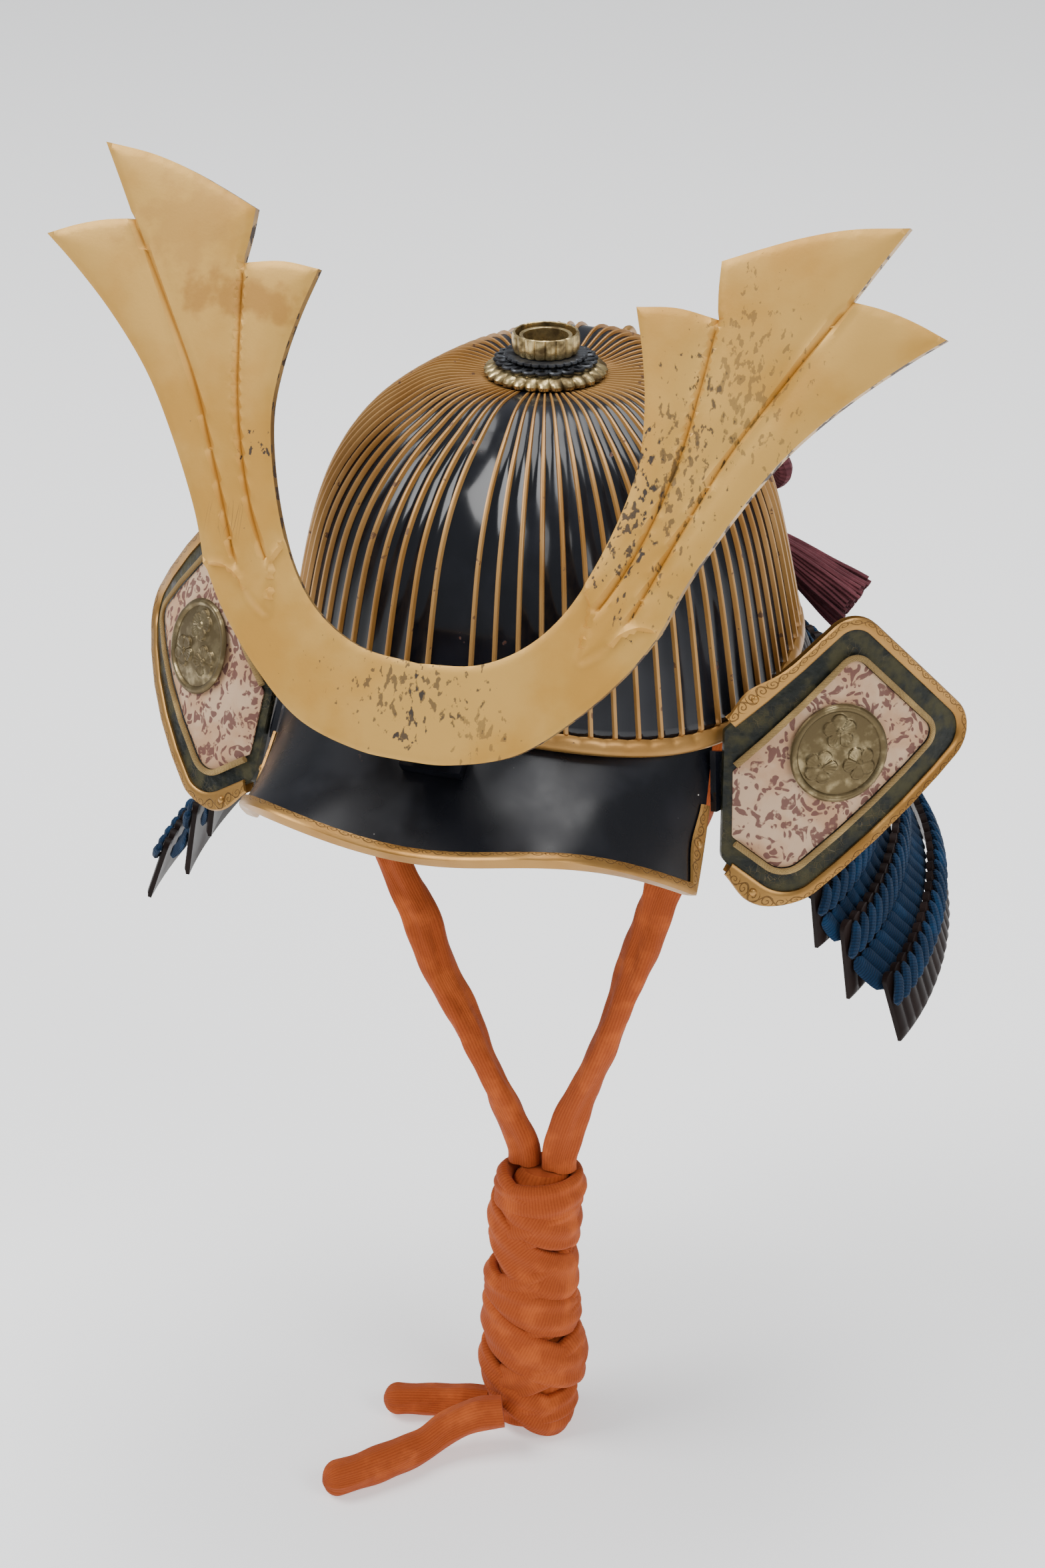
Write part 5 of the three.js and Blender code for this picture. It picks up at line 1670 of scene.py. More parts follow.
@dataclass
class Crown:
    """The crown fitting, tier by tier from the bowl up."""

    base: float = 112.3
    bore: float = 11.5
    loop_count: int = 22
    loop_low: float = 5.5
    loop_middle: float = 18.2
    loop_half_length: float = 3.0
    loop_half_width: float = 2.05
    loop_wire: float = 0.85
    # Levels from bore to bore: radius, height and share of the scallops
    petals: tuple = ((11.5, 0, 0), (24.6, 0, 1), (25.8, 0.8, 1), (26, 2.2, 1), (25, 3.4, 1),
                     (22.6, 4.6, 0.6), (21, 5, 0.3), (17, 4.9, 0), (11.5, 5, 0))
    teeth: tuple = ((11.5, 8, 0), (17.3, 8, 1), (17.6, 8.5, 1), (17.4, 9.3, 1), (16.4, 9.6, 0.7),
                    (11.5, 9.6, 0))
    cup: tuple = ((11.5, 9.9, 0), (13.2, 9.9, 0.7), (13.9, 11, 1), (14.2, 13.5, 1), (14.2, 16.6, 0.9),
                  (13.9, 18.2, 0.5), (13.3, 18.5, 0.3), (12.8, 18.2, 0.2), (12.8, 11.6, 0), (11.5, 11.5, 0))
    sleeve: tuple = ((9.5, -3.2), (11.2, -3.2), (11.2, 16.4), (11, 17), (10.2, 17.1), (9.5, 16.7))

    def ring(self, levels: Sequence, count: int, depth: float, power: float = 1, steps: int = 10) -> Draft:
        """Sweeps a scalloped ring.

        Args:
            levels: radius, height above the bowl's crown and share of the scallops, bore to bore.
            count: how many scallops it has.
            depth: how deep they are.
            power: below one for rounder scallops.
            steps: points in each.

        Returns:
            The draft.
        """
        turn = turns(count * steps)
        lobe = np.abs(np.sin(count * turn / 2)) ** power
        rings = [polar(turn, r - wave * depth * (1 - lobe), self.base + z) for r, z, wave in levels]
        draft = Draft()
        draft.loop(np.array(rings), cols_at=np.append(turn, FULL_TURN) * 20)
        return draft

    def build(self) -> None:
        """Makes the five tiers."""
        petals = self.ring(self.petals, count=28, depth=2.0, power=0.8)
        petals.build("petal_base", "brass", "crown_petal_base", CROWN_GILT)
        self.build_loops()
        disc = self.ring(self.teeth, count=30, depth=1.0, power=0.6)
        disc.build("toothed_disc", "patina", "crown_toothed_disc", PATINA)
        cup = self.ring(self.cup, count=18, depth=1.1, power=0.6, steps=12)
        cup.build("petal_cup", "gilt", "crown_petal_cup", CROWN_GILT)
        turn = turns(48)
        tube = Draft()
        tube.loop(np.array([polar(turn, r, self.base + z) for r, z in self.sleeve]))
        tube.build("crown_sleeve", "brass", "crown_tube", CROWN_GILT)

    def build_loops(self) -> None:
        """Makes the ring of pierced loops: a plate with a wire loop round each piercing."""
        count, low = self.loop_count, self.loop_low
        draft = self.ring(((self.bore, low, 0), (15.6, low, 0), (15.8, low + 1.6, 0),
                           (self.bore, low + 2.2, 0)), count, 0)
        t = np.linspace(0, FULL_TURN, 25)
        out = self.loop_middle - self.loop_half_length * np.cos(t)
        side = self.loop_half_width * np.sin(t) * (1 - 0.25 * np.cos(t))
        for k in range(count):
            path = polar(FULL_TURN * k / count + side / out, out, self.base + low + 1.1 + 0 * t)
            draft.tube(path, lambda s, q: self.loop_wire + 0 * s + 0 * q, 8)
        draft.build("loop_ring", "patina", "crown_loop_ring", PATINA)


@dataclass(frozen=True)
class Lame:
    """One lame: flare and drop of its edges, as shares of the guard's, and how far its ends go forward."""

    number: int
    top_flare: float
    top_drop: float
    low_flare: float
    low_drop: float
    front: float


@dataclass
class Guard:
    """The neck guard: lacquered lames and the silk braids that join them."""

    form: Form
    flare: float = 76
    drop: float = 136
    rear_share: float = 0.8
    wall: float = 2.5
    front_angle: float = math.radians(69)
    last_angle: float = math.radians(78)
    row_low: float = 0.6
    row_high: float = 0.86
    hang_high: float = 0.5
    hang_low: float = 0.72
    pitch: float = 7.4
    lames: tuple = (
        Lame(1, 0.03, 0.045, 0.17, 0.25, 0),
        Lame(2, 0.3, 0.22, 0.385, 0.47, 0),
        Lame(3, 0.51, 0.49, 0.56, 0.69, 0.2),
        Lame(4, 0.655, 0.615, 0.725, 0.865, 0.5),
        Lame(5, 0.87, 0.795, 1.0, 1.0, 0.85),
    )

    def face(self, lame: Lame, u: Array, v: Array) -> Array:
        """Returns points: u from the right front end round the back, v from the lower edge up.

        Args:
            lame: the lame.
            u: share of its run from the right front end round the back.
            v: share of its height.

        Returns:
            The points.
        """
        u, v = np.broadcast_arrays(np.asarray(u, float), np.asarray(v, float))
        end = lerp(self.front_angle, self.last_angle, lame.front)
        phi = lerp(end, FULL_TURN - end, u)
        side = np.abs((phi + math.pi) % FULL_TURN - math.pi)
        share = lerp(1, self.rear_share, smoothstep(side, math.radians(70), math.pi))
        flare = lerp(lame.low_flare, lame.top_flare, v) * share * self.flare
        drop = lerp(lame.low_drop, lame.top_drop, v) * share * self.drop
        return self.form.on_rim(phi, flare, drop)

    def outward(self, lame: Lame, u: Array, v: Array) -> Array:
        """Returns the lame's normals.

        Args:
            lame: the lame.
            u: share of its run from the right front end round the back.
            v: share of its height.

        Returns:
            The normals.
        """
        step = 1e-3
        du = self.face(lame, u + step, v) - self.face(lame, u - step, v)
        dv = self.face(lame, u, v + step) - self.face(lame, u, v - step)
        return unit(np.cross(du, dv))

    def length(self, lame: Lame) -> float:
        """Returns how long a lame is at its middle.

        Args:
            lame: the lame.

        Returns:
            The length.
        """
        line = self.face(lame, np.linspace(0, 1, 200), np.full(200, 0.5))
        return float(run_along(line)[-1])

    def build(self) -> None:
        """Makes the lames, the rows on them and the hanging laces."""
        for lame in self.lames:
            self.build_lame(lame)
        for lame in self.lames[1:]:
            self.build_row(lame)
        for upper, lower in zip(self.lames, self.lames[1:]):
            self.build_hang(upper, lower)

    def build_lame(self, lame: Lame) -> None:
        """Makes a lame: upright ribs, with scalloped heads along its top.

        Args:
            lame: the lame.
        """
        length = self.length(lame)
        scales = int(length / self.pitch)
        steps = scales * 10
        u = np.linspace(0, 1, steps + 1)
        v = np.array([0, 0.02, 0.06, 0.15, 0.3, 0.45, 0.6, 0.75, 0.86, 0.93, 0.97, 1.0])
        uu, vv = np.meshgrid(u, v)
        wave = np.abs(np.sin(math.pi * scales * uu))
        head = vv + (0.0 if lame.number == 1 else 0.09) * smoothstep(vv, 0.75, 1.0) * (wave**0.5 - 1)
        base = self.face(lame, uu, head)
        normal = self.outward(lame, uu, head)
        rib = 0.9 * wave**0.7 * smoothstep(vv, 0.0, 0.04) - 0.5 * (1 - smoothstep(vv, 0, 0.05))
        front = base + normal * (rib - 0.4)[..., None]
        draft = Draft()
        draft.sheet(front, base - normal * self.wall, v * 30, u * length)
        draft.build(f"lame_{lame.number}", "brown_lacquer", f"neck_lame_{lame.number}", BROWN, sharp=60)

    def braid(self, draft: Draft, path: Array, out: Array, width: float, thickness: float) -> None:
        """Adds a flat braid with rounded ends along a path.

        Args:
            draft: the draft that takes it.
            path: its middle.
            out: the way its face looks.
            width: its width.
            thickness: its thickness.
        """
        tangent = unit(np.gradient(path, axis=0))
        side = unit(np.cross(tangent, out))
        t = np.linspace(0, 1, len(path))
        size = np.sqrt(np.clip(1 - np.abs(2 * t - 1) ** 6, 0.08, 1))
        turn = np.linspace(0, FULL_TURN, 9)
        ring = side[:, None] * (np.cos(turn[:-1]) * width / 2)[None, :, None]
        ring = ring + out[:, None] * (np.sin(turn[:-1]) * thickness / 2)[None, :, None]
        along = run_along(path)
        start = draft.grid(path[:, None] + ring * size[:, None, None], True, along, along[-1] + turn)
        for k in range(len(draft.corners) - (len(path) - 1) * 8, len(draft.corners)):
            draft.corners[k] = [(v + 0.5 * abs((u - along[-1]) % math.pi - math.pi / 2), u)
                                for u, v in draft.corners[k]]
        draft.caps(start, len(path), 8)
        draft.close()

    def build_row(self, lame: Lame) -> None:
        """Makes the slanted braids across a lame's upper part.

        Args:
            lame: the lame.
        """
        length = self.length(lame)
        count = int(length / self.pitch)
        draft = Draft()
        for k in range(count):
            middle = (k + 0.5) / count
            slant = 0.62 / count
            t = np.linspace(-1, 1, 10)
            u = np.clip(middle + slant * t, 0.001, 0.999)
            v = lerp(self.row_low - 0.05, self.row_high + 0.07, (t + 1) / 2)
            out = self.outward(lame, u, v)
            path = self.face(lame, u, v) + out * (1.5 + 1.0 * (1 - t * t) - 0.6 * t)[:, None]
            self.braid(draft, path, out, 5.6, 3.6)
        draft.build(f"row_{lame.number}", "blue_silk", f"lacing_row_{lame.number}", BLUE_SILK)

    def build_hang(self, upper: Lame, lower: Lame) -> None:
        """Makes the braids that hang from one lame to the next.

        Args:
            upper: the lame it hangs from.
            lower: the lame it carries.
        """
        length = self.length(lower)
        count = int(length / self.pitch)
        draft = Draft()
        for k in range(count):
            u = np.full(9, (k + 0.5) / count)
            high = self.face(upper, u, np.full(9, self.hang_high))
            low = self.face(lower, u, np.full(9, self.hang_low))
            away = unit(high * (1, 1, 0))
            high = high + away * 1.5
            low = low - away * (self.wall + 1.9)
            t = np.linspace(0, 1, 9)[:, None]
            path = lerp(high, low, t) - away * 1.2 * (4 * t * (1 - t))
            tangent = unit(low - high)
            side = unit(np.cross(tangent, away))
            out = unit(np.cross(side, tangent))
            out = out * np.sign((out * away).sum(-1, keepdims=True))
            self.braid(draft, path, out, 7.9, 2.9)
        draft.build(f"hang_{upper.number}", "blue_silk", f"lacing_hang_{upper.number}", BLUE_SILK)


@dataclass
class Rear:
    """The staple and ring at the rear, the bow that it carries and the bow's tassels."""

    form: Form
    climb: float = math.radians(26)
    lean: float = math.radians(15)
    hang: float = math.radians(-26)
    ring_radius: float = 10
    wire: float = 1.8
    eye_radius: float = 5.1
    staple: float = 1.3
    washer_height: float = 1
    cord: float = 3.8
    half_width: float = 72
    loop_height: float = 8
    drape: float = 18
    behind: float = 4.5
    bow_up: float = 42
    knot_height: float = 20
    knot_half_width: float = 9.6
    knot_half_depth: float = 5.6
    knot_apart: float = 3.6
    knot_slant: float = 0.768
    knot_cord: float = 3.5
    tassel_aside: float = 48
    tassel_down: float = 28
    tassel_length: float = 68
    tassel_way: tuple = (60, 0, -38)
    head_radius: float = 5.2
    neck_radius: float = 5.0
    neck_at: float = 15.5
    skirt_top: float = 4.4
    skirt_low: float = 13.3
    skirt_strands: int = 150
    skirt_strand: float = 1.05
    # The washer under the staple: radius and height
    washer: tuple = ((4.4, 0), (4.6, 0.3), (4.2, 0.9), (3, 1.1), (1.2, 1.2))

    def foot(self) -> tuple[Array, Array]:
        """Returns where the staple stands on the bowl, and the way off it.

        Returns:
            The place and the way.
        """
        face = self.form.face(np.array([math.pi]), np.array([self.climb]))[0]
        above = self.form.face(np.array([math.pi]), np.array([self.climb + math.radians(1)]))[0]
        out = unit(np.array([0, above[2] - face[2], face[1] - above[1]]))
        return face + out * 0.05, out

    def eye(self) -> Array:
        """Returns the middle of the staple's eye.

        Returns:
            The point.
        """
        foot, out = self.foot()
        tilted = np.array([0, math.cos(self.lean), math.sin(self.lean)])
        return foot + out * self.washer_height + tilted * (self.eye_radius + self.staple / 2)

    def ring_centre(self) -> Array:
        """Returns the middle of the ring."""
        return self.eye() + np.array([0, math.cos(self.hang), math.sin(self.hang)]) * self.ring_radius

    def build(self) -> None:
        """Makes the staple, the ring, the bow and both tassels."""
        foot, out = self.foot()
        draft = Draft()
        turn = turns(24)
        first = np.array([1.0, 0, 0])
        second = np.cross(out, first)
        disc = first * np.cos(turn)[:, None] + second * np.sin(turn)[:, None]
        lobed = 1 + 0.06 * np.cos(8 * turn)[:, None]
        start = draft.grid(np.array([foot + disc * r * lobed + out * h for r, h in self.washer]), True)
        draft.caps(start, len(self.washer), len(turn))
        draft.close()
        tilted = np.array([0, math.cos(self.lean), math.sin(self.lean)])
        across = np.cross(tilted, first)
        self.torus(draft, self.eye(), first, across, self.eye_radius + self.staple, self.staple)
        draft.build("staple", "gilt", "rear_post", PLAIN_GILT)
        draft = Draft()
        back, above = np.array([0, 1.0, 0]), np.array([0, 0, 1.0])
        self.torus(draft, self.ring_centre(), back, above, self.ring_radius, self.wire)
        draft.build("ring", "gilt", "rear_ring", PLAIN_GILT)
        self.build_bow()
        for mirror, side in ((1, "right"), (-1, "left")):
            self.build_tassel(mirror, side)

    def torus(
        self, draft: Draft, centre: Array, first: Array, second: Array, radius: float, wire: float
    ) -> None:
        """Adds a ring of wire.

        Args:
            draft: the draft that takes it.
            centre: its middle.
            first: one way in its plane.
            second: the other way.
            radius: to the middle of the wire.
            wire: the wire's radius.
        """
        turn = turns(48)
        axis = np.cross(first, second)
        way = first * np.cos(turn)[:, None] + second * np.sin(turn)[:, None]
        small = turns(12)
        rings = [centre + way * (radius + wire * math.cos(a)) + axis * wire * math.sin(a) for a in small]
        draft.loop(np.array(rings))

    def closed_tube(self, draft: Draft, points: Sequence, radius: float) -> None:
        """Adds a closed loop of ribbed cord through points.

        Args:
            draft: the draft that takes it.
            points: what the cord passes.
            radius: its radius.
        """
        path = smooth_line(points, 160, closed=True)
        tangent = unit(np.roll(path, -1, axis=0) - np.roll(path, 1, axis=0))
        side = unit(np.cross(tangent, (0.2, 1.0, 0.3)))
        other = np.cross(tangent, side)
        small = turns(16)
        rings = [path + (side * math.cos(a) + other * math.sin(a)) * radius * (1 + 0.04 * math.cos(8 * a))
                 for a in small]
        draft.loop(np.array(rings), np.arange(17) * 1.5, run_along(back_to_start(path)))

    def build_bow(self) -> None:
        """Makes the bow: its loop through the ring, knot, side loops and tails."""
        draft = Draft()
        c = self.cord
        ring = self.ring_centre()
        top = ring + np.array([0, 0, self.wire + c + 2 * SEAT_GAP - self.ring_radius])
        y, z = self.form.rear + self.behind, self.bow_up
        legs = self.wire + c + 3 * SEAT_GAP
        up = self.knot_height / 2

        def leg(m: float) -> list:
            """Returns one side of the loop through the ring."""
            return [(m * legs, top[1] + 1, top[2] - 2), (m * legs, lerp(top[1], y, 0.6), top[2] - self.drape),
                    (m * c * 1.2, y, z + up), (m * c * 0.6, y, z)]

        self.closed_tube(draft, [tuple(top), *leg(1), *leg(-1)[::-1]], c)
        w, h = self.half_width, self.loop_height
        way = unit(np.array(self.tassel_way, float))
        for m in (1, -1):
            self.closed_tube(draft, [
                (m * 4, y, z + 4), (m * w * 0.55, y - 2, z + h), (m * (w - 6), y - 8, z + h * 0.9),
                (m * w, y - 10, z), (m * (w - 6), y - 8, z - h * 0.9), (m * w * 0.55, y - 2, z - h),
                (m * 4, y, z - 4)], c)
            end = np.array([m * self.tassel_aside, y, z - self.tassel_down]) - way * (m, 1, 1) * 3 * SEAT_GAP
            path = smooth_line([(m * 3, y, z - 4), (m * 14, y + 1, z - up - 4), tuple(end)], 60)
            draft.tube(path, lambda s, q: 0.8 * c * (1 + 0.04 * np.cos(8 * q)) + 0 * s, 16)
        circle = [(math.cos(a), math.sin(a)) for a in turns(32)]
        wide, deep, slant = self.knot_half_width, self.knot_half_depth, self.knot_slant
        knot = [[(wide * across, y + deep * back, z + shift + slant * across) for across, back in circle]
                for shift in (self.knot_apart, -self.knot_apart)]
        knot.append([(0.9 * back, y + 6.4 * back, z + 6.6 * rise) for rise, back in circle])
        for loop in knot:
            self.closed_tube(draft, loop, self.knot_cord)
        draft.build("bow", "purple_silk", "rear_bow", PURPLE_SILK)

    def build_tassel(self, m: float, side: str) -> None:
        """Makes a tassel: a wound head, a neck band and a skirt of strands.

        Args:
            m: 1 for the right one, -1 for the left one.
            side: its name.
        """
        y, z = self.form.rear + self.behind, self.bow_up
        start = np.array([m * self.tassel_aside, y, z - self.tassel_down])
        way = unit(np.array(self.tassel_way, float)) * (m, 1, 1)
        first = unit(np.cross(way, (0, 1.0, 0)))
        second = unit(np.cross(first, way))
        draft = Draft()
        head = np.linspace(0.2, 14.5, 26)
        path = start + way * head[:, None]
        draft.tube(path, lambda s, q: self.head_radius * np.sqrt(np.clip(1 - ((s - 7) / 9.5) ** 2, 0.15, 1))
                   + 0.18 * np.sin(s * 4) + 0 * q, 20)
        draft.tube(start + way * np.linspace(13.2, 17.2, 9)[:, None],
                   lambda s, q: self.neck_radius + 0.5 * np.abs(np.sin(s * 1.6)) + 0 * q, 20)
        rng = np.random.default_rng(7)
        for k in range(self.skirt_strands):
            a = k * GOLDEN_ANGLE
            share = math.sqrt((k + 0.5) / self.skirt_strands)
            low = self.skirt_low * share * (1 + 0.07 * math.cos(7 * a))
            reach = self.tassel_length - 1 - 3.5 * rng.random()
            t = np.linspace(0, 1, 12)[:, None]
            spread = lerp(self.skirt_top * share, low, t**0.8)
            wave = 0.35 * np.sin(9 * t + k) * t
            bend = a + 0.12 * (rng.random() - 0.5) * t
            strand = start + way * lerp(self.neck_at, reach, t)
            strand = strand + first * (spread * np.cos(bend) + wave) + second * 0.8 * (spread * np.sin(bend))
            draft.tube(strand, lambda s, q: self.skirt_strand + 0 * s + 0 * q, 6)
        draft.build(f"tassel_{side}", "purple_silk", f"rear_tassel_{side}", PURPLE_SILK)


@dataclass
class Cord:
    """The chin cord: two strands, the wrapped bundle and two tails."""

    strand_radius: float = 7.0
    tail_radius: float = 8.6
    tail_diameter: float = 15.5
    loop_across: float = 92.0
    bundle_aside: float = 8.6
    bundle_top: float = -272.8
    bundle_height: float = 144.2
    bundle_width: float = 48.0
    bundle_depth: float = 42.0
    bundle_forward: float = -4.0
    left: tuple = ((1, -9, -0.8), (0.994, -9, -20), (0.94, -9, -62), (0.73, -8.2, -125), (0.586, -7.2, -150),
                   (0.484, -6.4, -176), (0.347, -5.2, -199), (0.239, -4.4, -220), (0.119, -3.4, -242),
                   (0.024, -2.8, -260), (0.002, -2.6, -267), (0, -2.6, -272.2))
    right: tuple = ((1, -9, -0.8), (0.97, -9, -20), (0.832, -8.6, -62), (0.586, -7.4, -117),
                    (0.508, -6.6, -140), (0.412, -6, -164), (0.317, -5, -190), (0.203, -4.2, -217),
                    (0.101, -3.4, -238), (0.034, -2.8, -256), (0.005, -2.6, -266), (0, -2.6, -272.2))
    front_tail: tuple = ((-8.4, -30.5, -396), (-20, -36, -397.5), (-31, -44, -402), (-40, -54, -408),
                         (-50, -70, -408), (-61, -85, -408), (-72, -97, -408))
    rear_tail: tuple = ((-24, -10.8, -408), (-42, -16.5, -408), (-58, -22, -408), (-72, -27, -408))
    # The bundle's form: share of its height, reach to the left and right in widths, share of its depth
    wraps: tuple = ((0, 0.3, 0.4, 0.7), (0.06, 0.42, 0.43, 0.9), (0.2, 0.5, 0.4, 0.95),
                    (0.32, 0.53, 0.31, 0.88), (0.45, 0.55, 0.42, 1), (0.55, 0.57, 0.39, 0.9),
                    (0.7, 0.6, 0.46, 1), (0.8, 0.61, 0.44, 0.95), (0.9, 0.5, 0.36, 0.9), (1, 0.3, 0.2, 0.6))
    band_thickness: float = 4.0
    # Its bands: middle and slant in shares of its height, turn in degrees, half width, how proud it lies
    bands: tuple = ((0.08, 0.03, 180, 9, 0.8), (0.14, 0.13, 10, 10.5, 0.4), (0.2, 0.12, 170, 9.5, -0.4),
                    (0.29, 0.2, 0, 12.5, 0.8), (0.4, 0.12, 190, 9, 0.0), (0.49, 0.1, 20, 10, 0.7),
                    (0.56, 0.1, 200, 8.5, -0.3), (0.65, 0.14, 5, 12.5, 1.0), (0.76, 0.18, 185, 10, 0.1),
                    (0.84, 0.18, 350, 10.5, 0.8), (0.9, 0.04, 180, 8.5, 0.3))

    def strand_route(self, rows: Sequence, mirror: float) -> Array:
        """Returns a strand's route from its loop to the bundle.

        Args:
            rows: share of the way out, y and z.
            mirror: 1 for the right one, -1 for the left one.

        Returns:
            The route.
        """
        table = np.array(rows, float)
        x = mirror * lerp(self.bundle_aside, self.loop_across, table[:, 0])
        return smooth_line(np.stack([x, table[:, 1], table[:, 2]], -1), 120)

    def folded(self, radius: float, twist: float, seed: int, flat: float, gather: bool = False) -> Callable:
        """Returns the radius of a soft folded tube: lengthwise folds that wind round, and creases.

        Args:
            radius: the mean radius.
            twist: how fast the folds wind.
            seed: sets the folds apart.
            flat: how flat the tube is.
            gather: whether its far end is gathered.

        Returns:
            A function of length and angle.
        """
        rng = np.random.default_rng(seed)
        phases = rng.random(4) * FULL_TURN

        def shape(s: Array, q: Array) -> Array:
            """Returns the radius at a length and an angle.

            Args:
                s: the length.
                q: the angle.

            Returns:
                The radius.
            """
            fold = flat * np.cos(2 * (q - s * twist) + phases[0])
            fold = fold + 0.05 * np.cos(5 * q + s * twist * 2 + phases[1])
            crease = -0.1 * np.exp(-(((np.cos(q + s * twist * 1.6 + phases[2]) - 1) / 0.05) ** 2))
            crease = crease - 0.07 * np.exp(-(((np.cos(q - s * twist + phases[0]) - 1) / 0.03) ** 2))
            lump = 0.04 * np.sin(s / 8 + phases[3]) + 0.025 * np.sin(s / 3.1 + 2 * q + phases[1])
            end = np.ones_like(s * q)
            if gather:
                rest = float(np.max(s)) - s
                end = np.sqrt(np.clip(1 - (1 - np.minimum(rest, 8) / 8) ** 2, 0.03, 1)) + 0 * q
                end = end + 0.06 * np.cos(14 * q) * np.exp(-rest / 5) * end
            return radius * (1 + fold + crease + lump) * end

        return shape

    def build(self) -> None:
        for side, rows, m in (("left", self.left, -1), ("right", self.right, 1)):
            route = self.strand_route(rows, m)
            draft = Draft()
            draft.tube(route, self.folded(self.strand_radius * 1.02, 0.02 * m, 3 + int(m), 0.2), 60)
            piece = draft.build(f"strand_{side}", "orange_cotton", f"chin_cord_{side}", ORANGE_COTTON)
            carry(f"cord_loop_{side}", ORANGE_COTTON)
        bundle = self.build_bundle()
        for name, rows in (("front", self.front_tail), ("rear", self.rear_tail)):
            route = smooth_line(rows, 80)
            draft = Draft()
            draft.tube(route, self.folded(self.tail_radius * 0.95, 0.008, 11, 0.08, gather=True), 60)
            piece = draft.build(f"tail_{name}", "orange_cotton", f"cord_tail_{name}", ORANGE_COTTON)

    def on_bundle(self, down: Array, angle: Array, out: Array | float) -> Array:
        """Returns points on the bundle's form, in shares of its height and round it.

        Args:
            down: share of the height.
            angle: round it.
            out: how far out.

        Returns:
            The points.
        """
        table = np.array(self.wraps)
        left, right, depth = (np.interp(down, table[:, 0], table[:, k]) for k in (1, 2, 3))
        middle = (right - left) / 2 * self.bundle_width
        half = (right + left) / 2 * self.bundle_width + out
        x = middle + half * np.cos(angle)
        y = self.bundle_forward + np.sin(angle) * (depth * self.bundle_depth / 2 + out)
        return np.stack([x, y, self.bundle_top - down * self.bundle_height + 0 * x], -1)

    def build_bundle(self) -> Piece:
        """Makes the bundle: a core and bands of cord that cross over it.

        Returns:
            The piece.
        """
        draft = Draft()
        down = np.linspace(0, 1, 30)
        core = [self.on_bundle(np.full(40, d), turns(40), -6.0) for d in down]
        start = draft.grid(np.array(core), True)
        draft.caps(start, len(down), 40)
        draft.close()
        for k, (middle, slant, turned, width, proud) in enumerate(self.bands):
            angle = turns(109)
            at = np.clip(middle + 0.5 * slant * np.cos(angle - math.radians(turned)), 0.05, 0.95)
            path = self.on_bundle(at, angle, proud - self.band_thickness)
            tangent = unit(np.roll(path, -1, axis=0) - np.roll(path, 1, axis=0))
            out = unit(np.stack([np.cos(angle), np.sin(angle), 0 * angle], -1))
            side = unit(np.cross(tangent, out))
            length = run_along(path)
            small = turns(36)
            rings = []
            for a in small:
                wide = width * (1 + 0.08 * np.sin(length / 11 + k))
                fold = 1 + 0.2 * np.cos(6 * a + 0.06 * length + k) * max(0.0, math.cos(a))
                lift = self.band_thickness * np.sign(math.cos(a)) * abs(math.cos(a)) ** 0.8 * fold
                drawn = wide * np.sign(math.sin(a)) * abs(math.sin(a)) ** 0.9
                rings.append(path + out * lift[:, None] + side * drawn[:, None])
            draft.loop(np.array(rings), np.arange(37) * 1.5, np.append(length, length[-1] + 1))
        return draft.build("bundle", "orange_cotton", "cord_bundle", ORANGE_COTTON)


def carry(node: str, finish: Finish) -> None:
    """Gives a CAD node that stays as it is a finish.

    Args:
        node: the node's name.
        finish: its finish.
    """
    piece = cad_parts[node]
    for slot in piece.material_slots:
        slot.material = finish.made


# The picture: floor, light and camera


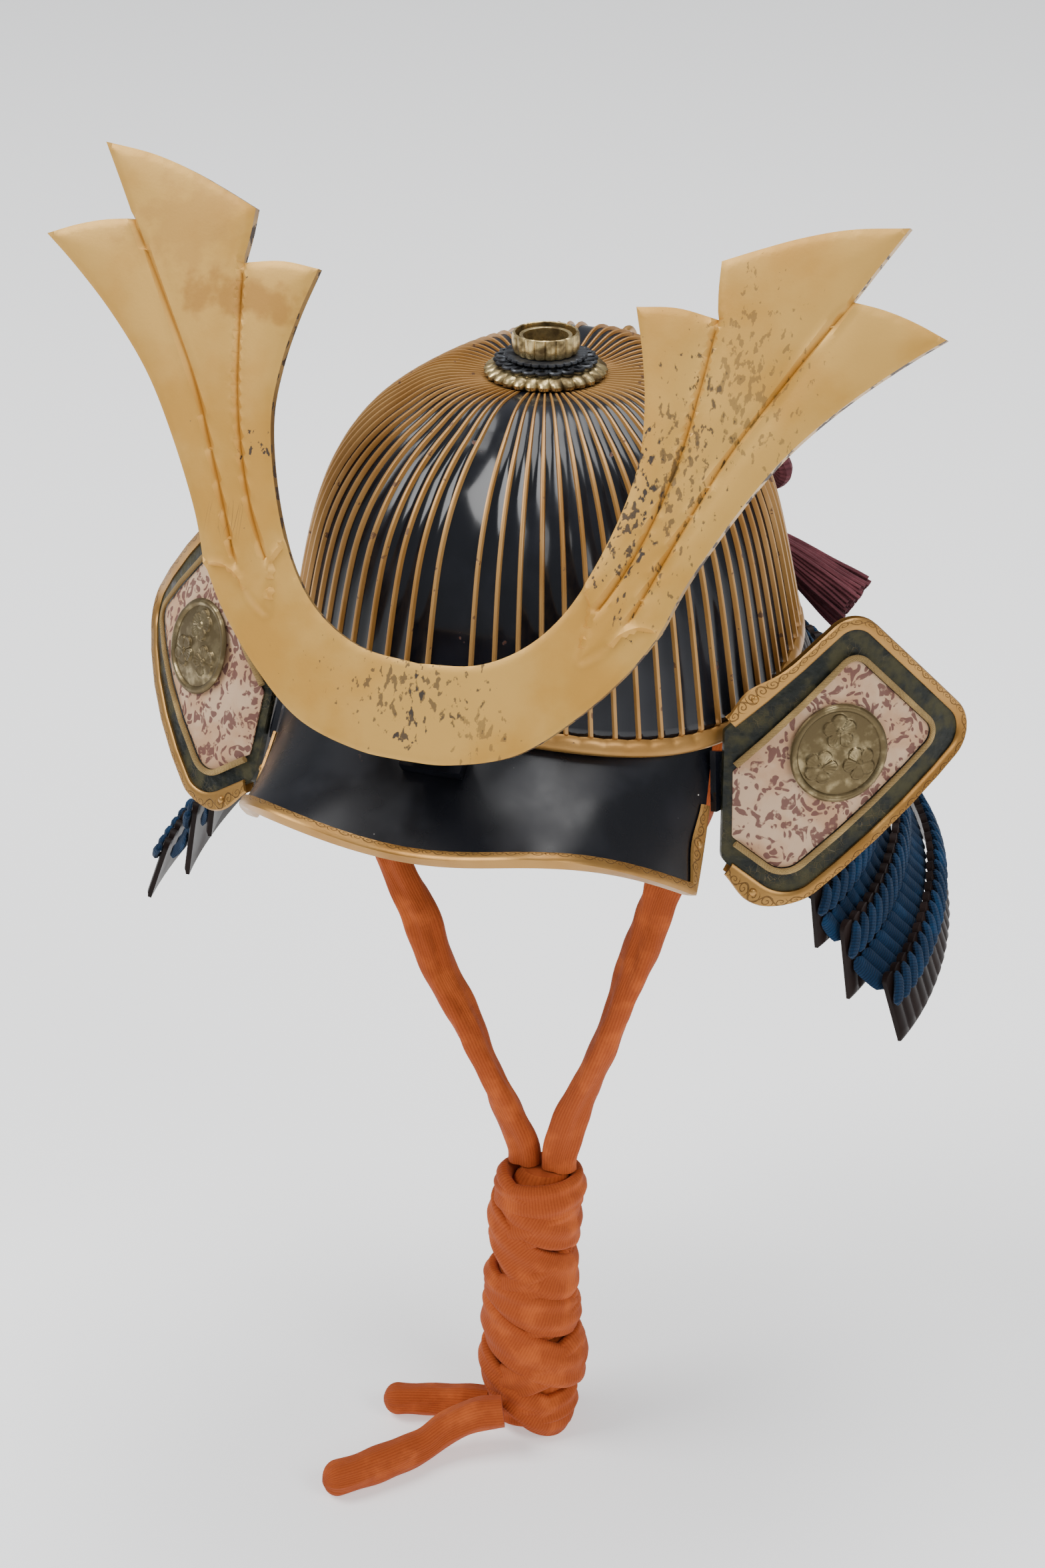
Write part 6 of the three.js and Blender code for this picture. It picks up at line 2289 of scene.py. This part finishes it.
@dataclass(frozen=True)
class Studio:
    """The floor, the soft lights and the camera at the photograph's angle."""

    floor_z: float = -0.4173
    location: tuple = (0.4789, -1.2338, 0.5606)
    back: tuple = (0.3328, -0.8401, 0.4285)
    lens: float = 76.53
    shift_x: float = -0.0008
    shift_y: float = -0.0137

    def build(self) -> None:
        """Makes the whole set."""
        mesh = bpy.data.meshes.new("floor")
        far = 14
        corners = [(-far, -far), (far, -far), (far, far), (-far, far)]
        mesh.from_pydata([(x, y, self.floor_z) for x, y in corners], [], [(0, 1, 2, 3)])
        floor = bpy.data.objects.new("floor", mesh)
        bpy.context.scene.collection.objects.link(floor)
        made, s, shader = new_material("pale_floor", {"Roughness": 0.9, "Emission Color": (1, 1, 1, 1),
                                                      "Emission Strength": 0.5})
        tone = s.noise(s.place(), 3.0, 2)
        s.feed(shader.inputs["Base Color"], s.mix(tone, (0.95, 0.95, 0.955, 1), (0.97, 0.97, 0.97, 1)))
        mesh.materials.append(made)
        self.light("key", (-1.7, -1.0, 2.4), 1.7, 80)
        self.light("fill", (2.3, -1.2, 1.6), 1.5, 36)
        self.light("top", (0.2, 0.7, 2.9), 1.9, 66)
        world = bpy.data.worlds.new("studio")
        world.use_nodes = True
        background = world.node_tree.nodes["Background"]
        background.inputs["Color"].default_value = (0.93, 0.96, 1, 1)
        background.inputs["Strength"].default_value = 0.42
        bpy.context.scene.world = world
        data = bpy.data.cameras.new("camera")
        data.lens, data.sensor_width, data.sensor_fit = self.lens, 36, "AUTO"
        data.shift_x, data.shift_y = self.shift_x, self.shift_y
        data.clip_start, data.clip_end = 0.05, 60
        camera = bpy.data.objects.new("camera", data)
        camera.location = self.location
        camera.rotation_euler = (-Vector(self.back)).to_track_quat("-Z", "Y").to_euler()
        bpy.context.scene.collection.objects.link(camera)
        bpy.context.scene.camera = camera

    def light(self, name: str, place: tuple, size: float, power: float) -> None:
        """Adds a square soft light that looks at the helmet.

        Args:
            name: its name.
            place: where it stands.
            size: its side.
            power: its watts.
        """
        data = bpy.data.lights.new(name, "AREA")
        data.energy, data.size = power, size
        lamp = bpy.data.objects.new(name, data)
        lamp.location = place
        lamp.rotation_euler = (Vector((0, -0.03, -0.05)) - Vector(place)).to_track_quat("-Z", "Y").to_euler()
        bpy.context.scene.collection.objects.link(lamp)


def main() -> None:
    """Builds the helmet's looks, the set and the camera."""
    logging.basicConfig(level=logging.INFO, format="%(message)s")
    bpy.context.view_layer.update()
    form = Form()
    Studio().build()
    Cord().build()
    Bowl(form).build()
    Visor(form).build()
    Crest().build()
    carry("crest_holder", VISOR_BLACK)
    for pose in (Pose("right", 1, 0, 0, 36, 7), Pose("left", -1, 0.6, 1, 32, 18)):
        Turnback(form, pose).build()
    Crown().build()
    Guard(form).build()
    Rear(form).build()


if __name__ == "__main__":
    main()
